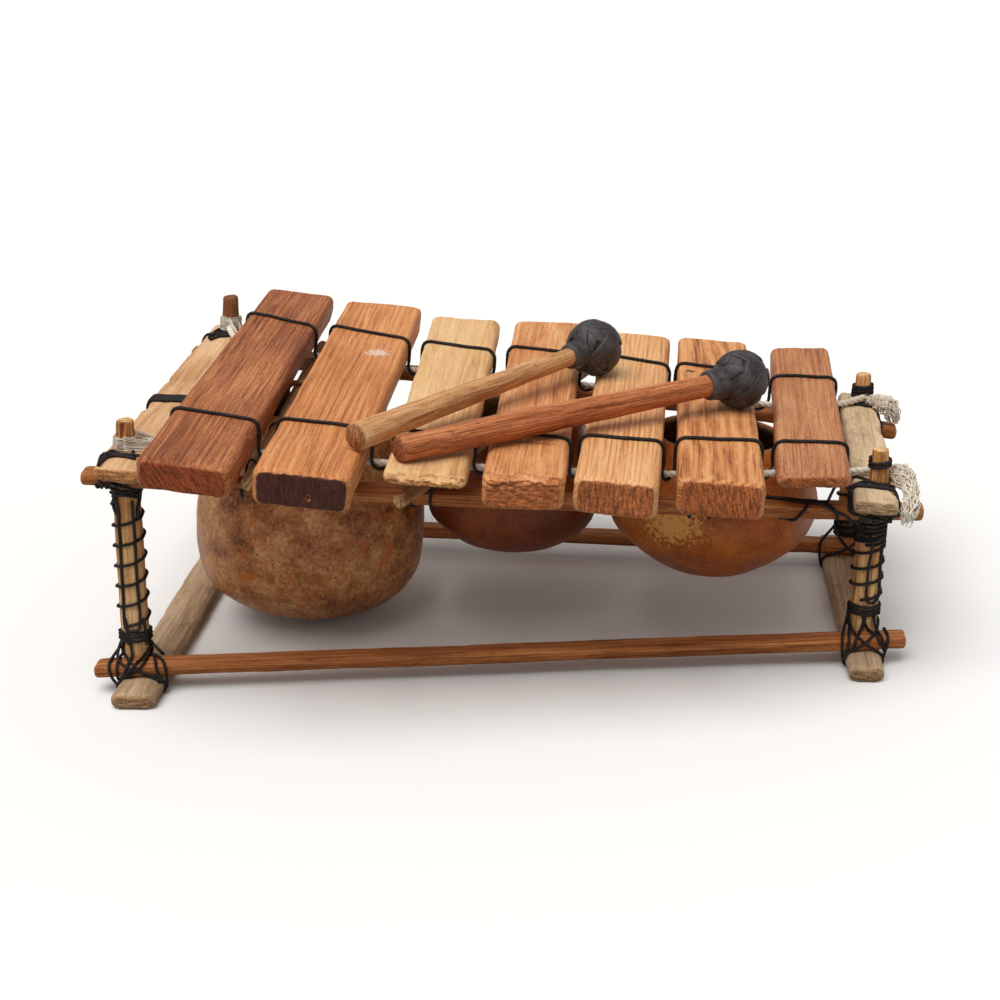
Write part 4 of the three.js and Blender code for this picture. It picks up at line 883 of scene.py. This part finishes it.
def joined(parts):
    """Several (points, faces) pairs as one."""
    points, faces, count = [], [], 0
    for some, some_faces in parts:
        points.append(some)
        faces += [tuple(index + count for index in face) for face in some_faces]
        count += len(some)
    return np.concatenate(points), faces


def stick_mesh(start, end, profile, seed, flats, flat_depth=0.05, sides=40, steps=110):
    """A whittled stick between two points; profile gives (share, radius) along it."""
    shares, radii = np.array(profile).T
    share = np.unique(np.concatenate([np.linspace(0, 1, steps), shares]))
    start, end = np.array(start), np.array(end)
    path = start + (end - start) * share[:, None]
    radius = np.interp(share, shares, radii)
    angles = even_angles(sides, len(share))
    turn = angles + 0.25 * np.sin(share * 5 + seed)[:, None]
    flat = np.cos(TAU / flats / 2) / np.cos((turn % (TAU / flats)) - TAU / flats / 2)
    wobble = ripple(np.stack([np.repeat(share * 9, sides), np.cos(turn).ravel() * 0.5,
                              np.sin(turn).ravel() * 0.5], axis=1), seed).reshape(turn.shape)
    shape = 1 - flat_depth * (1 - flat) / (1 - np.cos(TAU / flats / 2)) + wobble * 0.02
    points, faces = swept(path, angles, radius[:, None] * shape)
    mesh = mesh_of("stick", points, faces)
    paint(mesh, "grain", Local(points).inside(points) + np.random.default_rng(seed).uniform(-1, 1, 3))
    ends = np.zeros(len(points))
    ends[:sides] = 1
    ends[-sides:] = 1
    paint(mesh, "end", ends)
    return mesh


def add_cross_sticks():
    bark = wood("cross_stick_wood", (112, 76, 50), (176, 134, 96), (206, 168, 126), (196, 152, 106),
                streak=260, pores=0.6, dirt=0.55, roughness=0.75)
    for number in (1, 2, 3):
        profile = [(share, STICK_RADIUS * size) for share, size in (
            (0, 0.8), (0.006, 1), (0.4, 0.93), (0.7, 1), (0.994, 0.9), (1, 0.75))]
        mesh = stick_mesh(*stick_ends(number), profile, 60 + number, 5, 0.06, 24)
        place(f"gourd_stick_{number}_branch", mesh, bark, f"gourd_stick_{number}")


# Mallets: whittled sticks and heads wound from rubber strips

def mallet_points(mallet):
    butt = on_deck(*(value * MM for value in mallet["butt"]))
    head = on_deck(*(value * MM for value in mallet["head"]))
    return butt, head, (head - butt).normalized()


def strip(centre, normal, start, sweep, radius, seed, steps=70):
    """A rubber strip laid round the ball on a great circle, its edges a little raised."""
    normal = Vector(normal).normalized()
    first = normal.orthogonal().normalized()
    second = normal.cross(first)
    rng = np.random.default_rng(seed)
    drift = rng.uniform(-1, 1, 3)
    across = np.array([-0.5, -0.46, -0.3, 0, 0.3, 0.46, 0.5, 0.4, -0.4]) * STRIP_WIDTH
    lift = np.array([0.1, 0.85, 1, 1, 1, 0.85, 0.1, -0.3, -0.3]) * STRIP_THICKNESS
    points = []
    for i in range(steps):
        angle = start + sweep * i / (steps - 1)
        lean = (drift[0] * math.sin(angle + drift[1] * 3) + drift[2] * math.sin(2 * angle)) * 1.2 * MM
        taper = min(1, 0.35 + 8 * min(i, steps - 1 - i) / steps)
        outward = turned(first, second, angle)
        for offset, rise in zip(across, lift):
            direction = turned(outward, normal, (offset * taper + lean) / radius)
            points.append(centre + direction * (radius + rise))
    return np.array([tuple(p) for p in points]), capped(steps, len(across))


def add_mallets():
    rubber = rubber_finish()
    knot = (seen_at((452, 405), 62 * MM), (4.5, 4, 4), (96, 52, 30), 0.8)
    tan = wood("mallet_tan_wood", (158, 100, 58), (218, 164, 112), (240, 194, 146), (150, 100, 62),
               streak=220, pores=0.5, dirt=0.25, marks=[knot])
    red = wood("mallet_red_wood", (128, 64, 32), (192, 116, 72), (222, 150, 102), (140, 78, 48),
               streak=220, pores=0.6)
    for number, (mallet, finish) in enumerate(zip(MALLETS, (tan, red)), 1):
        butt, head, run = mallet_points(mallet)
        length = (head - butt).length
        butt_radius, belly_radius, neck_radius = (mallet[f"{part}_radius"] * MM
                                                  for part in ("butt", "belly", "neck"))
        profile = [(0, butt_radius * 0.85), (0.01, butt_radius), (0.33, belly_radius),
                   ((length - HEAD_RADIUS) / length, neck_radius), (1, neck_radius)]
        mesh = stick_mesh(butt, head, profile, 80 + number, 7)
        place(f"mallet_{number}_handle", mesh, finish, f"mallet_{number}_stick")
        add_head(number, head, run, mallet, rubber)


def add_head(number, head, run, mallet, rubber):
    """A ball of rubber strips on a core, one under the other, and a collar on the stick."""
    rng = np.random.default_rng(500 + number)
    core = HEAD_RADIUS - 1.5 * MM
    ball = bmesh.new()
    bmesh.ops.create_icosphere(ball, subdivisions=4, radius=core)
    core_points = np.array([tuple(v.co) for v in ball.verts]) + np.array(head)
    core_faces = [tuple(v.index for v in f.verts) for f in ball.faces]
    ball.free()
    parts = [(core_points, core_faces)]
    for layer in range(STRIPS):
        turn = TAU * layer * 0.382
        tilt = (0.15 + 0.75 * ((layer * 0.618) % 1)) * math.pi / 2
        aside = run.orthogonal().normalized()
        other = run.cross(aside)
        normal = turned(run, turned(aside, other, turn), tilt)
        radius = core - 0.35 * MM + 0.16 * MM * layer
        start, sweep = rng.uniform(0, TAU), TAU * rng.uniform(0.8, 0.97)
        parts.append(strip(head, normal, start, sweep, radius, 520 + 10 * number + layer))
    neck = mallet["neck_radius"] * MM
    reach = HEAD_RADIUS + mallet["collar"] * MM
    shares = np.linspace(0, 1, 26)
    path = np.array(head) - np.outer(reach * (1 - shares) + 6 * MM * shares, np.array(run))
    thick = np.interp(shares, [0, 0.05, 0.3, 0.34, 0.6, 0.64, 1], [1.3, 2.3, 2.6, 3.1, 3.3, 3.9, 4.2])
    profile = thick * MM + neck
    angles = even_angles(40, len(shares))
    spiral = 0.25 * MM * ((angles / TAU + shares[:, None] * 1.5) % 1)
    parts.append(swept(path, angles, profile[:, None] + spiral))
    points, faces = joined(parts)
    mesh = mesh_of(f"mallet_{number}_strips", points, faces)
    place(f"mallet_{number}_strips", mesh, rubber, f"mallet_{number}_head")


# Cords: each follows the middle line of its CAD tube, from end to end

def middle_line(node):
    """The centres of a CAD tube's rings, in order along it."""
    made = bmesh.new()
    made.from_mesh(frame["nodes"][node].data)
    bmesh.ops.remove_doubles(made, verts=made.verts, dist=0.005 * MM)
    ends = made.copy()
    bmesh.ops.dissolve_limit(ends, angle_limit=math.radians(0.3), verts=ends.verts, edges=ends.edges)
    caps = []
    for face in ends.faces:
        corners = np.array([tuple(v.co) for v in face.verts])
        reach = lengths(corners - corners.mean(0))
        if len(corners) >= 5 and reach.max() < reach.min() * 1.06:
            caps.append(corners)
    ends.free()
    sides = len(caps[0])
    first = caps[0]
    made.verts.ensure_lookup_table()
    layer = [v for v in made.verts if min(lengths(first - np.array(v.co))) < 0.01 * MM]
    seen = set(layer)
    centres = []
    while layer:
        centres.append(np.mean([tuple(v.co) for v in layer], axis=0))
        after = {e.other_vert(v) for v in layer for e in v.link_edges} - seen
        seen |= after
        layer = list(after)
    made.free()
    if len(caps) != 2 or len(seen) != sides * len(centres):
        raise RuntimeError(f"{node}: the tube's rings can't be followed")
    return np.array(centres)


def rounded(path, step):
    """A smooth line through a cord's points, with a point every step."""
    padded = np.concatenate([[2 * path[0] - path[1]], path, [2 * path[-1] - path[-2]]])
    fine = []
    for i in range(1, len(padded) - 2):
        a, b, c, d = padded[i - 1:i + 3]
        for t in np.linspace(0, 1, 8, endpoint=False):
            fine.append(0.5 * (2 * b + (c - a) * t + (2 * a - 5 * b + 4 * c - d) * t ** 2
                               + (3 * b - a - 3 * c + d) * t ** 3))
    fine.append(path[-1])
    fine = np.array(fine)
    return resampled(fine, max(4, int(gaps(fine).sum() / step)))


def laid_rope(path, radius, plies, pitch, depth, sides, thinning=0.0, seed=0):
    """A rope of twisted plies along a line."""
    run = run_of(gaps(path))
    angles = TAU * np.arange(sides) / sides + (TAU * run / pitch)[:, None]
    lobes = np.cos(plies * TAU * np.arange(sides) / sides)
    radii = radius * (1 - depth * (0.5 - 0.5 * lobes))[None, :] * np.ones((len(run), 1))
    if thinning:
        swells = max(4, int(run[-1] / (6 * MM)))
        swell = np.random.default_rng(seed).uniform(1 - thinning, 1, swells)
        radii = radii * np.interp(run, np.linspace(0, run[-1], swells), swell)[:, None]
    return swept(path, angles, radii)


def hair(start, directions, length):
    """A short bent hair: a thin three-sided tube."""
    points = [np.array(start)]
    for direction in directions:
        points.append(points[-1] + direction * length / len(directions))
    rings = len(points)
    radii = np.broadcast_to(np.linspace(1, 0.4, rings)[:, None] * HAIR_RADIUS, (rings, 3))
    return swept(np.array(points), even_angles(3, rings), radii)


def fuzz(path, radius, count, length, seed):
    """Loose hairs that stand off a cotton strand."""
    rng = np.random.default_rng(seed)
    along, aside, up = carried_frames(path)
    hairs = []
    for _ in range(count):
        i = rng.integers(2, len(path) - 2)
        angle = rng.uniform(0, TAU)
        out = turned(aside[i], up[i], angle)
        start = path[i] + out * radius * 0.8
        lean = along[i] * rng.choice([-1, 1]) * rng.uniform(0.5, 1.4)
        steps = []
        for bend in range(4):
            step = out * (0.7 - 0.35 * bend) + lean + rng.normal(size=3) * 0.3
            steps.append(step / np.linalg.norm(step))
        hairs.append(hair(start, steps, length * rng.uniform(0.5, 1.2)))
    return hairs


class Skin:
    """The skins of finished pieces, for cords to lie on."""

    def __init__(self, carriers):
        made = bmesh.new()
        for carrier in carriers:
            made.from_mesh(carrier.data)
        self.tree = BVHTree.FromBMesh(made)
        made.free()

    def out(self, point, reach=20 * MM):
        """The way out of the nearest skin and how far outside it the point is."""
        point = Vector(point)
        hit, normal, _, gap = self.tree.find_nearest(point, reach)
        if hit is None:
            return None, reach, None
        if (point - hit).dot(normal) < 0:
            return normal, -gap, hit
        return ((point - hit) / gap if gap > 1e-7 else normal), gap, hit

    def rested(self, path, radius, reach):
        """The line with each point that is nearer than reach moved to lie on the skin."""
        moved = path.copy()
        for i, point in enumerate(path):
            way, gap, hit = self.out(point, max(reach, 3 * MM))
            if way is not None and gap < reach:
                moved[i] = hit + way * radius
        return moved

    def drawn_tight(self, path, radius, reach=5 * MM, rounds=24):
        """The line pulled on to the skins near it and drawn taut over them."""
        path = self.rested(path, radius, reach)
        for _ in range(rounds):
            path[1:-1] += ((path[:-2] + path[2:]) / 2 - path[1:-1]) * 0.6
            path = self.rested(path, radius, radius)
        return path

    def strained(self, path, radius, rounds):
        """The line drawn taut over long spans: in coarse steps first, then in fine ones."""
        steps = int(gaps(path).sum() / (2.4 * MM))
        coarse = self.drawn_tight(resampled(path, steps), radius, rounds=rounds)
        return self.drawn_tight(rounded(coarse, CORD_STEP), radius, radius, 12)

    def seen(self, pixels, radius, near):
        """A line on the skins through what some pixels of the photograph show, near a point."""
        points = []
        for pixel in pixels:
            ray = pixel_ray(pixel)
            ray /= ray.length
            reach = (near - CAMERA_PLACE).dot(ray)
            hit, normal, _, gap = self.tree.ray_cast(CAMERA_PLACE, ray)
            if hit is None or abs(gap - reach) > SEEN_REACH:
                normal, _, hit = self.out(CAMERA_PLACE + ray * reach, SEEN_REACH)
            points.append(tuple(hit + normal * radius))
        return self.drawn_tight(rounded(np.array(points), CORD_STEP), radius, 4 * MM, 6)

    def ring(self, centre, angles, radii, levels):
        """Points round an upright piece: the skin plus the given distance at each level."""
        points = []
        for angle, radius, level in zip(angles, radii, levels):
            side = Vector((math.cos(angle), math.sin(angle), 0))
            middle = Vector((*centre(level), level))
            hit, _, _, _ = self.tree.ray_cast(middle + side * 25 * MM, -side)
            reach = (hit - middle).length if hit is not None else 7 * MM
            points.append(tuple(middle + side * (reach + radius)))
        return np.array(points)


def middle_of(piece):
    """The middle of an upright piece's section as a function of the level."""
    points = vertex_array(piece.data)

    def centre(level):
        return box_middle(points[np.abs(points[:, 2] - level) < 2.5 * MM])[:2]

    levels = np.linspace(points[:, 2].min() + 3 * MM, points[:, 2].max() - 3 * MM, 40)
    centres = np.array([centre(level) for level in levels])
    return lambda level: tuple(np.interp(level, levels, centres[:, k]) for k in (0, 1))


def uneven(rng, steps, knots, swing):
    """Random heights that run straight from knot to knot."""
    return np.interp(np.arange(steps), np.linspace(0, steps, knots), rng.uniform(-swing, swing, knots))


def collar(post, low, high, turns, radius, seed):
    """A cord wound closely round a post."""
    skin = Skin([post])
    rng = np.random.default_rng(seed)
    steps = turns * 40
    angles = TAU * turns * np.arange(steps) / steps + rng.uniform(0, TAU)
    levels = np.linspace(low, high, steps) + uneven(rng, steps, turns * 3, 0.8) * MM
    return skin.ring(middle_of(post), angles, np.full(steps, radius), levels)


def add_cords(woods):
    black = cord_finish("black_cord", (15, 13, 14), (44, 39, 40), 0.62)
    cotton = cord_finish("cotton_yarn", (204, 186, 166), (255, 247, 235), 0.9)
    skin = Skin(woods.values())
    names = [f"{kind}_{corner}" for corner in CORNERS
             for kind in ("foot_lashing", "top_lashing", "ladder_cord")]
    names += ["bar_cord_front", "bar_cord_back", "board_band_left", "rail_tie_right",
              "peg_winding_front_right", "peg_winding_back_right", "stick_tie_1", "stick_tie_2",
              "stick_tie_3"]
    for name in names:
        radius = BAR_CORD_RADIUS if name.startswith("bar_cord") else CORD_RADIUS
        route = rounded(middle_line(name), CORD_STEP)
        if name.startswith("foot"):
            routes = [skin.strained(route, radius, 60)]
        elif name in DOUBLED:
            routes = [skin.drawn_tight(beside(route, skin, side * 1.2 * MM), radius) for side in (-1, 1)]
        else:
            routes = [skin.drawn_tight(route, radius, rounds=30)]
        near = Vector(route.mean(0))
        routes += [skin.seen(pixels, radius, near) for pixels in SEEN_CORDS.get(name, ())]
        if name in COLLARS:
            post, low, high, turns = COLLARS[name]
            routes.append(collar(woods[post], low * MM, high * MM, turns, radius, len(name)))
        ropes = [laid_rope(rounded(line, CORD_STEP), radius, 3, CORD_LAY, 0.2, 10) for line in routes]
        place(f"{name}_rope", mesh_of(name, *joined(ropes)), black, name)
    for side in ("front", "back"):
        path = rounded(middle_line(f"strand_{side}"), STRAND_STEP)
        parts = [laid_rope(path, STRAND_RADIUS, 4, STRAND_LAY, 0.3, 16, 0.14, 7)]
        parts += fuzz(path, 2.4 * MM, 190, 6 * MM, 8)
        place(f"strand_{side}_cotton", mesh_of("strand", *joined(parts)), cotton, f"strand_{side}")
        add_tuft(side, path, cotton)
        corner = f"{side}_left"
        low, high = COTTON_BANDS[corner]
        add_cotton_band(corner, woods[f"post_{corner}"], low * MM, high * MM, path, cotton)


def beside(path, skin, offset):
    """The same route moved sideways on the skin that it lies on."""
    along = unit(np.gradient(path, axis=0))
    ways = np.array([tuple(skin.out(point)[0] or (0, 0, 1)) for point in path])
    side = np.cross(along, ways)
    kernel = np.ones(9) / 9
    side = np.stack([np.convolve(np.pad(column, 4, "edge"), kernel, "valid")
                     for column in side.T], axis=1)
    side /= np.maximum(lengths(side), 0.3)[:, None]
    return path + side * offset


def add_cotton_band(corner, post, low, high, strand, cotton):
    """Fine cotton threads in a flat band round a peg that runs into the strand, with loose hairs."""
    rng = np.random.default_rng(len(corner))
    skin = Skin([post])
    centre = middle_of(post)
    parts = []

    def spin(line):
        parts.append(laid_rope(line, rng.uniform(0.34, 0.5) * MM, 2, 3 * MM, 0.25, 6))

    for thread in range(THREADS_ROUND):
        turns = rng.uniform(1.6, 3.2)
        steps = int(turns * 36)
        angles = rng.uniform(0, TAU) + TAU * turns * np.arange(steps) / steps
        first, last = rng.uniform(low, high, 2)
        drift = uneven(rng, steps, 9, 1) * 0.9 * MM
        levels = np.clip(np.linspace(first, last, steps) + drift, low, high)
        radii = np.full(steps, (0.4 + 1.5 * rng.uniform() ** 1.3) * MM)
        line = skin.ring(centre, angles, radii, levels)
        spin(line)
        if thread % 4 == 0:
            parts += fuzz(line, 0.4 * MM, 14, 4.5 * MM, 40 + thread)
    left_first = strand if strand[0, 0] < strand[-1, 0] else strand[::-1]
    goal = left_first[int(34 * MM / np.linalg.norm(left_first[1] - left_first[0]))]
    for thread in range(THREADS_OUT):
        level = low + (high - low) * (thread % 11) / 10
        side = -1 if thread % 2 else 1
        middle = np.array([*centre(level), level])
        start = middle + np.array([1 * MM, side * (8.6 + rng.uniform(0, 1)) * MM, 0])
        share = np.linspace(0, 1, 14)[:, None]
        spread = np.array([0, side * 2.2 * MM, (level - low - 4 * MM) * 0.3])
        spread = spread + rng.normal(size=3) * 0.4 * MM
        line = start + (goal + spread - start) * share
        line[:, 2] -= np.sin(share[:, 0] * math.pi) * 1.2 * MM
        spin(line)
    name = f"peg_winding_{corner}"
    place(f"{name}_cotton", mesh_of(name, *joined(parts)), cotton, name)


def add_tuft(side, strand, cotton):
    """Frayed ends: thin yarns that leave the peg together and part towards their tips."""
    route, spread = TUFTS[side]
    end = DECK.inverted() @ Vector(max(strand[0], strand[-1], key=lambda point: point[0])) / MM
    end += TUFT_SHIFT
    rng = np.random.default_rng(90 + len(side))
    line = np.array([tuple(on_deck((end.x + x) * MM, (end.y + y) * MM, (z + TUFT_SHIFT.z) * MM))
                     for x, y, z in route])
    path = rounded(line, 1.2 * MM)
    share = np.linspace(0, 1, len(path))
    width = np.interp(share, np.linspace(0, 1, len(spread)), spread) * MM
    _, aside, up = carried_frames(path)
    parts = []
    for _ in range(YARNS):
        angle = rng.uniform(0, TAU)
        out = math.sqrt(rng.uniform(0, 1)) * 0.95
        sway = rng.uniform(-0.8, 0.8) * share + 0.4 * np.sin(share * TAU * rng.uniform(2, 5) + angle)
        offset = width * out * (1 + 0.3 * np.sin(share * TAU * rng.uniform(4, 9) + angle * 3))
        turn = angle + sway
        yarn = path + aside * (offset * np.cos(turn))[:, None] + up * (offset * np.sin(turn))[:, None]
        yarn = yarn[:max(int(len(path) * rng.uniform(0.6, 1.0)), 6)]
        radii = np.full((len(yarn), 5), rng.uniform(0.25, 0.5) * MM)
        parts.append(swept(yarn, even_angles(5, len(yarn)), radii))
        if len(yarn) > 12:
            parts += fuzz(yarn, 0.3 * MM, 3, 5 * MM, rng.integers(1 << 30))
    place(f"tuft_{side}_yarns", mesh_of("tuft", *joined(parts)), cotton, f"tuft_{side}")


# Floor, light and background

def add_stage():
    s = Shader("floor_paper", 0.9, 0.1)
    path = s.add("LightPath")
    seen = s.calc("ADD", s.calc("ADD", path.outputs["Is Camera Ray"], path.outputs["Is Glossy Ray"]),
                  path.outputs["Is Transmission Ray"], clamp=True)
    grain = s.noise(s.own_place(), 300, 3)
    tint = s.between(grain, 0.3, 0.7, 0.3, 0.31)
    dull = s.out("CombineColor", {0: tint, 1: tint, 2: tint})
    material = s.finish(s.mix(seen, dull, (0.97, 0.97, 0.97)))
    half = 7
    corners = [(-half, -half, 0), (half, -half, 0), (half, half, 0), (-half, half, 0)]
    mesh = mesh_of("floor", corners, [(0, 1, 2, 3)])
    mesh.materials.append(material)
    floor = linked("floor", mesh)


def add_lights():
    data = bpy.data.lights.new("window", "SUN")
    data.energy = 2.25
    data.angle = math.radians(55)
    data.color = (1.0, 0.985, 0.96)
    lamp = linked("window", data)
    azimuth = math.radians(-35)
    elevation = math.radians(68)
    towards = Vector((math.sin(azimuth) * math.cos(elevation), -math.cos(azimuth) * math.cos(elevation),
                      math.sin(elevation)))
    lamp.rotation_mode = "QUATERNION"
    lamp.rotation_quaternion = towards.to_track_quat("Z", "Y")
    world = bpy.data.worlds.new("room")
    bpy.context.scene.world = world
    room = Nodes(world)
    seen = room.add("LightPath").outputs["Is Camera Ray"]
    plain = room.out("Background", {0: (1.0, 0.985, 0.95), 1: 0.42})
    white = room.out("Background", {0: (1, 1, 1), 1: 1.0})
    mixed = room.out("MixShader", {0: seen, 1: plain, 2: white})
    room.add("OutputWorld", {0: mixed})


bpy.context.scene.view_settings.view_transform = "Standard"
woods = {piece.name.removesuffix("_wood"): piece for piece in (*frame_woods(), *bars())}
add_cords(woods)
add_gourds()
add_cross_sticks()
add_mallets()
add_camera()
add_stage()
add_lights()
